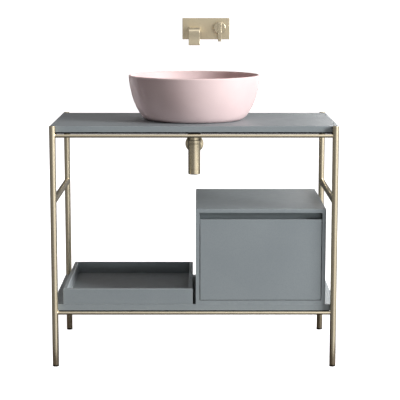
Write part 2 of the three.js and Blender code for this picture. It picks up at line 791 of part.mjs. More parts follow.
// The lever turns with its carrier about the cartridge's axis, and tips on the carrier away from
// the wall. The hub is a cup that hides the carrier, and is clear of the cartridge at full tilt.
function makeLever() {
  const { cartridgeRadius, cartridgeHeight, hubRadius, hubDepth, hubRound, hubFace, hubStandOff } = tap;
  const cartridge = turned(
    [
      [0, 0],
      [cartridgeRadius, 0],
      [cartridgeRadius, cartridgeHeight - 1],
      [cartridgeRadius - 1, cartridgeHeight],
      [0, cartridgeHeight],
    ],
    24,
  );
  const carrierFlange = 2.4;
  const carrier = turned(
    [
      [0, 0],
      [tap.carrierRadius, 0],
      [tap.carrierRadius, carrierFlange],
      [tap.carrierStemRadius, carrierFlange],
      [tap.carrierStemRadius, tap.carrierLength - 1],
      [tap.carrierStemRadius - 1, tap.carrierLength],
      [0, tap.carrierLength],
    ],
    24,
  );
  const bore = hubRadius - tap.hubWall;
  const cup = turned(
    [
      [0, hubDepth - hubFace],
      [bore, hubDepth - hubFace],
      [bore, 0],
      [hubRadius, 0],
      ...arc(hubRadius - hubRound, hubDepth - hubRound, hubRound, 0, 90, 3),
      [0, hubDepth],
    ],
    32,
  );
  const barLength = tap.barAbove + tap.barBelow;
  const barEdge = 0.8;
  const barOutline = rectangle(tap.barWidth - 2 * barEdge, barLength - 2 * barEdge);
  const leverBar = slab(barOutline, tap.barThickness, barEdge);
  leverBar.translate(0, (tap.barAbove - tap.barBelow) / 2, hubDepth - tap.barSunk + tap.barThickness / 2);
  const cartridgeTop = tapFront + cartridgeHeight;
  const assembly = group(
    node('tap_cartridge', cartridge, zincSteel(), 0, 0, tapFront),
    node('tap_lever_carrier', carrier, zincSteel(), 0, 0, cartridgeTop + JOINT_GAP),
    node('tap_lever', join(cup, leverBar), champagneMetal(), 0, 0, hubStandOff),
  );
  assembly.position.set(tap.leverInset - tap.spoutInset, plateTop - tap.leverAxisDrop, 0);
  return assembly;
}

function makeTap() {
  const assembly = group(makePlate(), makeSpout(), makeLever());
  assembly.position.set(0, wallY, basinZ + basin.height + tap.outletAboveRim);
  assembly.rotation.x = Math.PI / 2;
  return assembly;
}

// ---------------------------------------------------------------- the whole washstand

const washstand = group(
  makeFrame(),
  group(makeWorktop(), makeSubpanel(), makeShelf(), makeShelfSubpanel()),
  makeTray(),
  makeUnitCase(),
  group(makeDrawerFront(), makeDrawerBox()),
  makeRunner('left'),
  makeRunner('right'),
  makeBasin(),
  makeWaste(),
  makeTrap(),
  makeTap(),
);

export default washstand;
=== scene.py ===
"""The looks of a washstand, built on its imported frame.

Lacquered boards hang in a frame of satin gold tubes, with a matt glazed basin on the worktop, a
bottle trap under it and a mixer tap on the wall. Metres, +Z up, +X to the right, front faces -Y.
"""
import logging
import math
from dataclasses import dataclass
from enum import Enum
from typing import Sequence

import bmesh
import bpy
import numpy as np
from mathutils import Euler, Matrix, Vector


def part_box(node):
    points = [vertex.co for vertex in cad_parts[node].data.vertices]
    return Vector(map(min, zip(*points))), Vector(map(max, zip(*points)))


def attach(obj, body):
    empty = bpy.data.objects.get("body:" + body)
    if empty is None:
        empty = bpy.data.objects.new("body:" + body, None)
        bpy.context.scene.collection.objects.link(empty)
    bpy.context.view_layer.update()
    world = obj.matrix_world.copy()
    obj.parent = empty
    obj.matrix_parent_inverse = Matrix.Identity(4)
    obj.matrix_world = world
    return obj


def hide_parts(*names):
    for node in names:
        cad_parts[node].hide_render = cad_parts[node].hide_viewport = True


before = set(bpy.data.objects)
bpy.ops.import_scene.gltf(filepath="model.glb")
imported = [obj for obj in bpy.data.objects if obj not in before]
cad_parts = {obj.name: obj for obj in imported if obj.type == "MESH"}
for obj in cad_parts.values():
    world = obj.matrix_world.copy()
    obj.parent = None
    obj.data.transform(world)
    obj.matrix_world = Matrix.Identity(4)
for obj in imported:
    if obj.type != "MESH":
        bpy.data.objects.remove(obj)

log = logging.getLogger("washstand")

Array = np.ndarray
Shell = tuple[Array, "Ends", Array]  # a grid of points, how it is closed, and its marks
Stops = tuple[tuple[float, float], ...]  # (share, level) in order
Colour = tuple[float, float, float, float]

MM = 0.001
SETTLE = 1.2 * MM  # how far past a rounded edge its paler paint (a painted edge highlight, and wear on lacquer) fades out
MERGE = 1e-7  # vertices closer than this are one
FAR = 100.0  # stands for a corner that never gets sharp
END_RING = 0.7  # where a bar's end face has one more ring, as a share of its radius
WHITE = (1.0, 1.0, 1.0, 1.0)
CREASE = math.radians(38)  # faces that meet at more than this keep a sharp edge


class Ends(Enum):
    """How a grid of rows is closed: by its flat end rows, by poles, or by joining last to first."""

    CAPPED = "capped"
    POLES = "poles"
    LOOPED = "looped"


class Axis(Enum):
    """The direction that a carried or turned shape stands along."""

    X = 0
    Y = 1
    Z = 2


# ------------------------------------------------------------------------------------ surfaces


def upright(grid: Array, axis: Axis) -> Array:
    """Turns points made along Z so that they stand along an axis.

    Args:
        grid: points (a, b, h) in the last dimension.
        axis: the direction that h becomes.

    Returns:
        The points as (x, y, z). a and b become the other two directions, in the order x, y, z.
    """
    a, b, h = grid[..., 0], grid[..., 1], grid[..., 2]
    order = {Axis.X: (h, a, b), Axis.Y: (a, h, b), Axis.Z: (a, b, h)}[axis]
    return np.stack(order, axis=-1)


def unit(v: Array) -> Array:
    """Scales the vectors in the last dimension to length one."""
    return v / np.linalg.norm(v, axis=-1, keepdims=True)


def smooth(t: Array) -> Array:
    """The curve 3t^2 - 2t^3, which leaves 0 and reaches 1 level."""
    return t * t * (3 - 2 * t)


@dataclass(frozen=True)
class Outline:
    """A closed outline of n points, with what is needed to move it inwards."""

    points: Array  # (n, 2)
    normals: Array  # (n, 2), outwards
    mark: Array  # (n,), 1 on rounded corners
    radius: Array  # (n,), how far a point may go in before its corner is sharp
    mitre: Array  # (n, 2), its travel for each metre beyond that

    def inset(self, depth: Array) -> Array:
        """Moves the outline in, once for each depth.

        A point goes in against its normal. Beyond its corner's radius it goes along the mitre.

        Args:
            depth: (rows,) distances.

        Returns:
            Points (rows, n, 2).
        """
        d = depth[:, None, None]
        radius = self.radius[None, :, None]
        straight = self.points - self.normals * np.minimum(d, radius)
        return straight + self.mitre * np.maximum(d - radius, 0)


def filleted(corners: Sequence[Sequence[float]], radius: float | Sequence[float], steps: int = 6,
             settle: float = SETTLE) -> Outline:
    """Rounds every corner of a closed outline.

    An arc touches both sides of its corner. Its centre lies on the corner's bisector, at the
    radius over the sine of half the angle between the sides. A point is added on each side a
    little past the arc, so that what is painted on the arc can fade out.

    Args:
        corners: the outline's corners in order.
        radius: one radius, or one for each corner.
        steps: points on each arc.
        settle: how far past the arc its two extra points lie.

    Returns:
        The rounded outline.
    """
    c = np.asarray(corners, float)
    r = np.broadcast_to(np.asarray(radius, float), len(c))[:, None]
    back, ahead = unit(np.roll(c, 1, 0) - c), unit(np.roll(c, -1, 0) - c)
    half = np.arccos(np.clip((back * ahead).sum(1), -1, 1))[:, None] / 2
    centre = c + unit(back + ahead) * r / np.sin(half)
    first, last = c + back * r / np.tan(half), c + ahead * r / np.tan(half)
    low, high = (np.arctan2(*(p - centre).T[::-1])[:, None] for p in (first, last))
    sweep = (high - low + np.pi) % (2 * np.pi) - np.pi
    angle = low + sweep * np.linspace(0, 1, steps)
    radial = np.stack([np.cos(angle), np.sin(angle)], -1)
    after = np.roll(c, -1, 0)
    area = (c[:, 0] * after[:, 1] - after[:, 0] * c[:, 1]).sum()
    turn = ahead[:, 1] * -back[:, 0] - ahead[:, 0] * -back[:, 1]
    convex = turn * area > 0
    outward = radial * np.where(convex, 1.0, -1.0)[:, None, None]
    arcs = centre[:, None] + r[:, None] * radial
    before, beyond = (first + back * settle)[:, None], (last + ahead * settle)[:, None]
    points = np.concatenate([before, arcs, beyond], 1)
    normals = np.concatenate([outward[:, :1], outward, outward[:, -1:]], 1)
    mark = np.ones(points.shape[:2])
    mark[:, [0, -1]] = 0
    rounded = (mark > 0) & convex[:, None]
    limit = np.where(rounded, r, FAR)
    mitre = np.where(rounded[..., None], (unit(back + ahead) / np.sin(half))[:, None], 0.0)
    return Outline(points.reshape(-1, 2), normals.reshape(-1, 2), mark.ravel(), limit.ravel(),
                   mitre.reshape(-1, 2))


def rectangle(low: Sequence[float], high: Sequence[float]) -> Array:
    """The four corners of an upright rectangle, anticlockwise."""
    (a, b), (c, d) = low, high
    return np.array([(a, b), (c, b), (c, d), (a, d)], float)


def edge_rows(low: float, high: float, edge: float, steps: int = 5) -> Array:
    """The section of a slab's side: in from one face, round, across, round, and out on the other.

    Args:
        low, high: heights of the two faces.
        edge: radius of both rounded edges.
        steps: points on each round.

    Returns:
        Rows of (distance in from the side, height, 1 on a round or 0 off it).
    """
    t = np.linspace(0, np.pi / 2, steps)
    one = np.ones(steps)
    lower = np.stack([edge * (1 - np.sin(t)), low + edge * (1 - np.cos(t)), one], 1)
    upper = np.stack([edge * (1 - np.cos(t)), high - edge * (1 - np.sin(t)), one], 1)
    rest = min(SETTLE, (high - low) / 4)
    inner = edge + SETTLE
    return np.concatenate([
        [[inner, low, 0]], lower, [[0, low + edge + rest, 0]],
        [[0, high - edge - rest, 0]], upper, [[inner, high, 0]],
    ])


def carried(outline: Outline, rows: Array) -> tuple[Array, Array]:
    """Carries a section round an outline.

    Each row of the section gives a ring: the outline, moved in by the row's distance, at the
    row's height.

    Args:
        outline: the outline.
        rows: (distance in, height, mark) for each ring.

    Returns:
        The grid (rows, points, 3), and at each of its points the larger of the two marks, or 0 on
        the flat of a face.
    """
    ring = outline.inset(rows[:, 0])
    height = np.broadcast_to(rows[:, 1, None, None], (*ring.shape[:2], 1))
    level = (rows[:, 2] == 0) & (rows[:, 0] != 0)
    marks = np.where(level[:, None], 0.0, np.maximum(rows[:, 2, None], outline.mark[None]))
    return np.concatenate([ring, height], -1), marks


def slab(corners: Sequence[Sequence[float]], low: float, high: float, edge: float, axis: Axis,
         corner: float | Sequence[float] | None = None, steps: int = 5) -> Shell:
    """A flat solid with any outline and rounded edges: an edge section carried round the outline.

    Args:
        corners: the outline.
        low, high: where its two faces lie along the axis.
        edge: radius of the rounded edges.
        axis: the direction of its thickness.
        corner: radius of the outline's corners, or the edge radius if it is None.
        steps: points on each round.

    Returns:
        One closed shell.
    """
    outline = filleted(corners, edge if corner is None else corner, steps + 1)
    grid, mark = carried(outline, edge_rows(low, high, edge, steps))
    return upright(grid, axis), Ends.CAPPED, mark


def drilled(outline: Outline, rows: Array, radius: float) -> Shell:
    """Carries a section round an outline, and closes it with a round hole about the Z axis.

    Each point of the hole lies on the line from the axis to its point of the outline, so both
    faces are strips from the outline in to the hole.

    Args:
        outline: the outline.
        rows: (distance in, height, mark) for each ring, from the low face to the high one.
        radius: the hole's radius.

    Returns:
        One closed shell.
    """
    grid, mark = carried(outline, rows)
    rim = unit(outline.points) * radius
    height = rows[[-1, 0], 1][:, None, None]
    hole = np.concatenate([np.repeat(rim[None], 2, 0), height + 0 * rim[None, :, :1]], -1)
    return np.concatenate([grid, hole]), Ends.LOOPED, np.concatenate([mark, np.zeros((2, len(rim)))])


def board(box: "Box", edge: float) -> Shell:
    """A board that fills a box, with all its edges rounded. It is thinnest along its own axis.

    Args:
        box: the space that it fills.
        edge: radius of its edges.

    Returns:
        One closed shell.
    """
    axis = Axis(int(np.argmin(box.size)))
    flat = [i for i in range(3) if i != axis.value]
    corners = rectangle(box.low[flat], box.high[flat])
    return slab(corners, box.low[axis.value], box.high[axis.value], edge, axis)


def turned(section: Array, segments: int = 96) -> Array:
    """Turns a section of (radius, height) about Z: x = r cos a, y = r sin a, at the row's height.

    Args:
        section: (radius, height) in rows.
        segments: points in each ring.

    Returns:
        Points (rows, segments, 3).
    """
    angle = np.linspace(0, 2 * np.pi, segments, endpoint=False)
    r, z = section[:, 0, None], section[:, 1, None]
    return np.stack([r * np.cos(angle), r * np.sin(angle), z + 0 * angle], -1)


def turned_from_wall(section: Array, segments: int, place: Sequence[float]) -> Array:
    """Turns a section about a line that runs out of the wall, along -Y.

    Args:
        section: (radius, distance from the wall end) in rows.
        segments: points in each ring.
        place: the wall end of the line.

    Returns:
        Points (rows, segments, 3).
    """
    grid = upright(turned(section, segments), Axis.Y)
    grid[..., 1] *= -1
    return shifted(grid, place)


def rod_section(radius: float, low: float, high: float, low_edge: float, high_edge: float) -> Array:
    """The section of a round bar, from the axis out, round, along and back to the axis.

    Args:
        radius: the bar's radius.
        low, high: heights of its two ends.
        low_edge, high_edge: radii of its two rounded edges.

    Returns:
        Rows of (radius, height).
    """
    t = np.linspace(0, np.pi / 2, 6)
    lower = np.stack([radius - low_edge * (1 - np.sin(t)), low + low_edge * (1 - np.cos(t))], 1)
    upper = np.stack([radius - high_edge * (1 - np.cos(t)), high - high_edge * (1 - np.sin(t))], 1)
    ring = radius * END_RING
    return np.concatenate([[[0, low], [ring, low]], lower, upper, [[ring, high], [0, high]]])


def ring_section(corners: Sequence[Sequence[float]], radius: float | Sequence[float],
                 steps: int = 5) -> Array:
    """The rounded section of a ring, from its (radius, height) corners."""
    return filleted(corners, radius, steps, settle=0.05 * MM).points


def shifted(grid: Array, place: Sequence[float]) -> Array:
    """Moves points by a fixed step."""
    return grid + np.asarray(place, float)


def bezier(points: Sequence[Sequence[float]], steps: int) -> Array:
    """A cubic curve: four control points, weighted by (1-t)^3, 3t(1-t)^2, 3t^2(1-t) and t^3.

    Args:
        points: the four control points.
        steps: how many points to give.

    Returns:
        Points along the curve.
    """
    t = np.linspace(0, 1, steps)[:, None]
    p = np.asarray(points, float)
    return (1 - t) ** 3 * p[0] + 3 * t * (1 - t) ** 2 * p[1] + 3 * t**2 * (1 - t) * p[2] + t**3 * p[3]


def plain(grid: Array, ends: Ends) -> Shell:
    """A shell with no marked edges."""
    return grid, ends, np.zeros(grid.shape[:2])


@dataclass(frozen=True)
class Box:
    """The lowest and highest corners of the space round one or more nodes of the frame."""

    low: Array
    high: Array

    @classmethod
    def of(cls, *nodes: str) -> "Box":
        """Measures the box round the named nodes."""
        corners = np.array([[list(c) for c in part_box(n)] for n in nodes])
        return cls(corners[:, 0].min(0), corners[:, 1].max(0))

    @property
    def size(self) -> Array:
        """Its three lengths."""
        return self.high - self.low

    @property
    def centre(self) -> Array:
        """Its middle."""
        return (self.low + self.high) / 2


def make_piece(name: str, shells: Sequence[Shell], finish: bpy.types.Material, body: str,
               replaced: Sequence[str]) -> bpy.types.Object:
    """Makes one object from closed shells and rides it on a body of the frame.

    A grid's quads join each point to the next one round and to the next row. Poles and seams are
    merged, and the faces are then turned outwards. The marks go into the attribute edge_wear_and_highlight.

    Args:
        name: the piece's name.
        shells: its closed shells.
        finish: its material.
        body: the body of the frame that it moves with.
        replaced: the nodes that it stands for.

    Returns:
        The new object.
    """
    vertices, faces, marks, start = [], [], [], 0
    for grid, ends, mark in shells:
        rows, columns = grid.shape[:2]
        row = np.arange(rows if ends is Ends.LOOPED else rows - 1)[:, None] * columns
        here, beside = np.arange(columns)[None], (np.arange(columns)[None] + 1) % columns
        above = (row + columns) % (rows * columns)
        quads = np.stack([row + here, row + beside, above + beside, above + here], -1)
        faces += (quads.reshape(-1, 4) + start).tolist()
        if ends is Ends.CAPPED:
            faces.append((np.arange(columns)[::-1] + start).tolist())
            faces.append((np.arange(columns) + (rows - 1) * columns + start).tolist())
        vertices.append(grid.reshape(-1, 3))
        marks.append(mark.ravel())
        start += rows * columns
    mesh = bpy.data.meshes.new(name)
    mesh.from_pydata(np.concatenate(vertices).tolist(), [], faces)
    # A mark on rounded edges: finishes paint them paler, as edge wear and as a painted edge highlight.
    edge_wear_and_highlight_mark = mesh.attributes.new("edge_wear_and_highlight", "FLOAT", "POINT")
    edge_wear_and_highlight_mark.data.foreach_set("value", np.concatenate(marks).astype(np.float32))
    work = bmesh.new()
    work.from_mesh(mesh)
    bmesh.ops.remove_doubles(work, verts=work.verts, dist=MERGE)
    bmesh.ops.recalc_face_normals(work, faces=work.faces)
    work.to_mesh(mesh)
    work.free()
    mesh.polygons.foreach_set("use_smooth", np.ones(len(mesh.polygons), bool))
    mesh.set_sharp_from_angle(angle=CREASE)
    mesh.materials.append(finish)
    piece = bpy.data.objects.new(name, mesh)
    bpy.context.scene.collection.objects.link(piece)
    weighted = piece.modifiers.new("even_shading", "WEIGHTED_NORMAL")
    weighted.keep_sharp = True
    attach(piece, body)
    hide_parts(*replaced)
    log.info("%s: %d faces on %s", name, len(mesh.polygons), body)
    return piece


def dress(node: str, finish: bpy.types.Material) -> None:
    """Gives a node of the frame a finish.

    Args:
        node: the node's name.
        finish: its material.
    """
    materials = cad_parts[node].data.materials
    materials.clear()
    materials.append(finish)
    log.info("%s: dressed", node)


# ------------------------------------------------------------------------------------ finishes


class Wiring:
    """A node tree, with short ways to add nodes and join them."""

    def __init__(self, tree: bpy.types.NodeTree) -> None:
        """Keeps the tree."""
        self.tree = tree

    def add(self, kind: str) -> bpy.types.Node:
        """Adds a node of a kind."""
        return self.tree.nodes.new(f"ShaderNode{kind}")

    def feed(self, socket: bpy.types.NodeSocket, value: object) -> None:
        """Joins an output to an input, or sets the input if the value is a constant.

        Args:
            socket: the input.
            value: an output of another node, or a constant.
        """
        if isinstance(value, bpy.types.NodeSocket):
            self.tree.links.new(value, socket)
        else:
            socket.default_value = value

    def blend(self, share: object, first: object, second: object, way: str = "MIX") -> bpy.types.NodeSocket:
        """Mixes two colours, from the first at 0 to the second at 1, or their product at 1.

        Args:
            share: how much of the second.
            first, second: the colours.
            way: MIX, or MULTIPLY for the product.

        Returns:
            The colour.
        """
        node = self.add("Mix")
        node.data_type, node.blend_type = "RGBA", way
        for index, value in ((0, share), (6, first), (7, second)):
            self.feed(node.inputs[index], value)
        return node.outputs[2]


class Recipe(Wiring):
    """A material's node tree. Its patterns read Object coordinates."""

    def __init__(self, name: str) -> None:
        """Starts a material that holds only its shader and its output.

        Args:
            name: the material's name.
        """
        self.material = bpy.data.materials.new(name)
        self.material.use_nodes = True
        super().__init__(self.material.node_tree)
        self.shader = self.tree.nodes["Principled BSDF"]
        self.place = self.add("TexCoord").outputs["Object"]

    def put(self, **values: float | tuple) -> None:
        """Sets constants on the shader's sockets. An underscore in a name stands for a space."""
        for name, value in values.items():
            self.shader.inputs[name.replace("_", " ")].default_value = value

    def noise(self, scale: float, detail: float = 3.0, stretch: Sequence[float] = (1, 1, 1),
              rough: float = 0.55) -> bpy.types.NodeSocket:
        """Noise of about 1/scale metres, squeezed along each axis by stretch.

        Args:
            scale: how many times it changes in a metre.
            detail: how many finer layers it has.
            stretch: its scale along x, y and z.
            rough: the share that each finer layer keeps.

        Returns:
            Its value, about 0.5.
        """
        mapping = self.add("Mapping")
        mapping.inputs["Scale"].default_value = stretch
        self.feed(mapping.inputs["Vector"], self.place)
        node = self.add("TexNoise")
        node.inputs["Scale"].default_value = scale
        node.inputs["Detail"].default_value = detail
        node.inputs["Roughness"].default_value = rough
        self.feed(node.inputs["Vector"], mapping.outputs["Vector"])
        return node.outputs["Fac"]

    def between(self, value: bpy.types.NodeSocket, least: float, most: float, low: float = 0.3,
                high: float = 0.7) -> bpy.types.NodeSocket:
        """Maps low..high, where most of a noise lies, smoothly onto least..most.

        Args:
            value: the output to map.
            least, most: the range that it gets.
            low, high: the range that it has.

        Returns:
            The mapped value.
        """
        node = self.add("MapRange")
        node.interpolation_type = "SMOOTHSTEP"
        for name, number in zip(("From Min", "From Max", "To Min", "To Max"), (low, high, least, most)):
            node.inputs[name].default_value = number
        self.feed(node.inputs["Value"], value)
        return node.outputs["Result"]

    def reckon(self, operation: str, first: object, second: object) -> bpy.types.NodeSocket:
        """One sum on two numbers or outputs.

        Args:
            operation: ADD or MULTIPLY.
            first, second: the numbers or outputs.

        Returns:
            The result.
        """
        node = self.add("Math")
        node.operation = operation
        self.feed(node.inputs[0], first)
        self.feed(node.inputs[1], second)
        return node.outputs[0]

    def edge_wear_and_highlight_mark(self) -> bpy.types.NodeSocket:
        """The mark that shapes carry on their rounded edges, where finishes paint wear and a painted edge
        highlight.

        Returns:
            Its value.
        """
        node = self.add("Attribute")
        node.attribute_name = "edge_wear_and_highlight"
        return node.outputs["Fac"]

    def bump(self, height: bpy.types.NodeSocket, depth: float,
             under: bpy.types.NodeSocket | None = None) -> bpy.types.NodeSocket:
        """Raises the surface by height times depth, on top of another bump if one is given.

        Args:
            height: the output that says how high.
            depth: the rise where the height is 1.
            under: the bump below it.

        Returns:
            The bumped normal.
        """
        node = self.add("Bump")
        node.inputs["Distance"].default_value = depth
        node.inputs["Strength"].default_value = 1.0
        self.feed(node.inputs["Height"], height)
        if under is not None:
            self.feed(node.inputs["Normal"], under)
        return node.outputs["Normal"]

    def finish(self, colour: object, roughness: object, normal: object = None) -> bpy.types.Material:
        """Joins colour, roughness and bump to the shader.

        Args:
            colour, roughness: constants or outputs.
            normal: the bump, or None for a smooth surface.

        Returns:
            The material.
        """
        self.feed(self.shader.inputs["Base Color"], colour)
        self.feed(self.shader.inputs["Roughness"], roughness)
        if normal is not None:
            self.feed(self.shader.inputs["Normal"], normal)
        return self.material


@dataclass(frozen=True)
class SatinMetal:
    """Plated metal, finely brushed one way, with a slightly cloudy tone."""

    name: str
    tone: Colour = (0.66, 0.58, 0.43, 1)
    deep: Colour = (0.60, 0.52, 0.375, 1)
    # paler tone painted on rounded edges: a painted edge highlight
    rubbed_and_lit_edge: Colour = (0.74, 0.67, 0.55, 1)
    brushing: tuple[float, float, float] = (1, 1, 0.02)
    smoothest: float = 0.24
    roughest: float = 0.30
    edge_highlight_share: float = 0.35
    depth: float = 0.0006 * MM

    def make(self) -> bpy.types.Material:
        """Builds the material: streaks from squeezed noise, and clouds from broad noise.

        Returns:
            The material.
        """
        r = Recipe(self.name)
        r.put(Metallic=1.0)
        streaks = r.noise(2400, 2, self.brushing)
        clouds = r.noise(14, 2)
        share = r.reckon("ADD", r.between(clouds, 0, 0.6), r.between(streaks, 0, 0.4))
        tone = r.blend(share, self.tone, self.deep)
        # Rounded edges are painted paler by the mark: a painted edge highlight.
        colour = r.blend(r.reckon("MULTIPLY", r.edge_wear_and_highlight_mark(), self.edge_highlight_share), tone, self.rubbed_and_lit_edge)
        roughness = r.reckon("ADD", r.between(streaks, self.smoothest, self.roughest),
                             r.between(clouds, -0.01, 0.02))
        return r.finish(colour, roughness, r.bump(streaks, self.depth))


@dataclass(frozen=True)
class Lacquer:
    """Sprayed satin lacquer on fibreboard, with a fine orange peel and rounded edges a little paler: partly
    rubbed wear, partly a painted edge highlight.
    """

    name: str = "blue_grey_lacquer"
    tone: Colour = (0.236, 0.268, 0.284, 1)
    pale: Colour = (0.256, 0.289, 0.304, 1)
    grain: Colour = (0.205, 0.235, 0.250, 1)
    # paler edge tone: partly rubbed wear, partly a painted edge highlight
    rubbed_and_lit_edge: Colour = (0.31, 0.345, 0.36, 1)
    smoothest: float = 0.48
    roughest: float = 0.56
    peel: float = 0.010 * MM
    swell: float = 0.02 * MM

    def make(self) -> bpy.types.Material:
        """Builds the material: broad tone, fine fleck, orange peel, and paler edges that are partly wear,
        partly a painted highlight.

        Returns:
            The material.
        """
        r = Recipe(self.name)
        r.put(Specular_IOR_Level=0.42)
        tone = r.blend(r.between(r.noise(5, 4), 0, 1), self.tone, self.pale)
        tone = r.blend(r.between(r.noise(420, 3, rough=0.75), 0, 0.55, 0.42, 0.68), tone, self.grain)
        # Rounded edges painted paler in patches: partly wear, partly a painted edge highlight.
        edge = r.reckon("MULTIPLY", r.edge_wear_and_highlight_mark(), r.between(r.noise(90, 4), 0.1, 0.6, 0.35, 0.65))
        colour = r.blend(edge, tone, self.rubbed_and_lit_edge)
        roughness = r.between(r.noise(36, 4), self.smoothest, self.roughest)
        normal = r.bump(r.noise(700, 2), self.peel, under=r.bump(r.noise(60, 2), self.swell))
        return r.finish(colour, roughness, normal)


@dataclass(frozen=True)
class MattGlaze:
    """Matt pink glaze: soft undulation, a powdery grain, and very small flecks."""

    name: str = "pink_matt_glaze"
    tone: Colour = (0.745, 0.600, 0.600, 1)
    blush: Colour = (0.70, 0.550, 0.552, 1)
    dark_fleck: Colour = (0.52, 0.36, 0.35, 1)
    pale_fleck: Colour = (0.88, 0.74, 0.73, 1)
    # paler tone on the rounded lip: a painted highlight where the rim catches the light
    lip: Colour = (0.86, 0.68, 0.665, 1)
    smoothest: float = 0.46
    roughest: float = 0.56
    powder: float = 0.02 * MM
    undulation: float = 0.12 * MM

    def make(self) -> bpy.types.Material:
        """Builds the material: blush from broad noise, flecks from fine noise above a level.

        Returns:
            The material.
        """
        r = Recipe(self.name)
        r.put(Specular_IOR_Level=0.28)
        tone = r.blend(r.between(r.noise(7, 3), 0, 1, 0.3, 0.72), self.tone, self.blush)
        tone = r.blend(r.between(r.noise(900, 2), 0, 0.5, 0.66, 0.74), tone, self.dark_fleck)
        fine = r.noise(1300, 2, (1, 1, 1.2))
        tone = r.blend(r.between(fine, 0, 0.5, 0.68, 0.76), tone, self.pale_fleck)
        # The rounded lip is painted paler: a painted rim highlight.
        colour = r.blend(r.reckon("MULTIPLY", r.edge_wear_and_highlight_mark(), 0.4), tone, self.lip)
        roughness = r.between(r.noise(120, 3), self.smoothest, self.roughest)
        normal = r.bump(r.noise(1700, 3), self.powder, under=r.bump(r.noise(38, 2), self.undulation))
        return r.finish(colour, roughness, normal)


@dataclass(frozen=True)
class Moulded:
    """A plastic, rubber or painted board: fine grain in colour, roughness and height."""

    name: str
    tone: Colour
    pale: Colour
    grain: float = 1400
    smoothest: float = 0.45
    roughest: float = 0.6
    depth: float = 0.03 * MM

    def make(self) -> bpy.types.Material:
        """Builds the material from one fine and one broad noise.

        Returns:
            The material.
        """
        r = Recipe(self.name)
        r.put(Specular_IOR_Level=0.12)
        fine, broad = r.noise(self.grain, 3), r.noise(30, 3)
        share = r.reckon("MULTIPLY", r.between(fine, 0, 1, 0.35, 0.7), r.between(broad, 0.4, 1))
        roughness = r.between(broad, self.smoothest, self.roughest)
        return r.finish(r.blend(share, self.tone, self.pale), roughness, r.bump(fine, self.depth))


@dataclass(frozen=True)
class ZincSteel:
    """Zinc-plated steel: a bluish grey with a soft spangle and drawn lines along the sheet."""

    name: str = "zinc_steel"
    tone: Colour = (0.60, 0.62, 0.64, 1)
    deep: Colour = (0.46, 0.48, 0.50, 1)
    drawn: tuple[float, float, float] = (1, 0.02, 1)
    spangle: float = 260
    smoothest: float = 0.26
    roughest: float = 0.40
    depth: float = 0.01 * MM

    def make(self) -> bpy.types.Material:
        """Builds the material: spangle from cells, lines from squeezed noise.

        Returns:
            The material.
        """
        r = Recipe(self.name)
        r.put(Metallic=1.0)
        cells = r.add("TexVoronoi")
        cells.inputs["Scale"].default_value = self.spangle
        r.feed(cells.inputs["Vector"], r.place)
        lines = r.noise(1500, 3, self.drawn)
        colour = r.blend(r.between(cells.outputs["Distance"], 0, 1, 0, 0.8), self.tone, self.deep)
        roughness = r.between(lines, self.smoothest, self.roughest)
        return r.finish(colour, roughness, r.bump(lines, self.depth))


class Palette:
    """Every finish of the washstand, made once."""

    def __init__(self) -> None:
        """Makes the materials."""
        self.frame_x = SatinMetal("gold_tube_along_x", brushing=(0.006, 1, 1)).make()
        self.frame_y = SatinMetal("gold_tube_along_y", brushing=(1, 0.006, 1)).make()
        self.frame_z = SatinMetal("gold_tube_upright", brushing=(1, 1, 0.006)).make()
        self.fitting = SatinMetal("gold_fitting", tone=(0.72, 0.63, 0.455, 1), deep=(0.66, 0.57, 0.40, 1),
                                  brushing=(0.03, 1, 1), smoothest=0.28, roughest=0.36).make()
        self.fitting_upright = SatinMetal("gold_fitting_upright", tone=(0.68, 0.595, 0.43, 1),
                                          deep=(0.62, 0.535, 0.375, 1), brushing=(1, 1, 0.03)).make()
        self.lacquer = Lacquer().make()
        self.glaze = MattGlaze().make()
        self.zinc = ZincSteel().make()
        self.dark_zinc = ZincSteel("dark_zinc_steel", (0.13, 0.135, 0.14, 1), (0.08, 0.083, 0.088, 1)).make()
        # Near-black paint for the sub-panels: painted shade that darkens the gaps under the worktop and the
        # shelf.
        self.black_board = Moulded("black_board", (0.004, 0.004, 0.004, 1), (0.009, 0.009, 0.009, 1),
                                   grain=500, smoothest=0.7, roughest=0.85).make()
        self.foot = Moulded("dark_moulding", (0.018, 0.016, 0.014, 1), (0.035, 0.032, 0.028, 1)).make()
        self.rubber = Moulded("black_rubber", (0.012, 0.012, 0.012, 1), (0.024, 0.024, 0.024, 1),
                              grain=900, smoothest=0.7, roughest=0.85).make()


# ------------------------------------------------------------------------------- metal frame


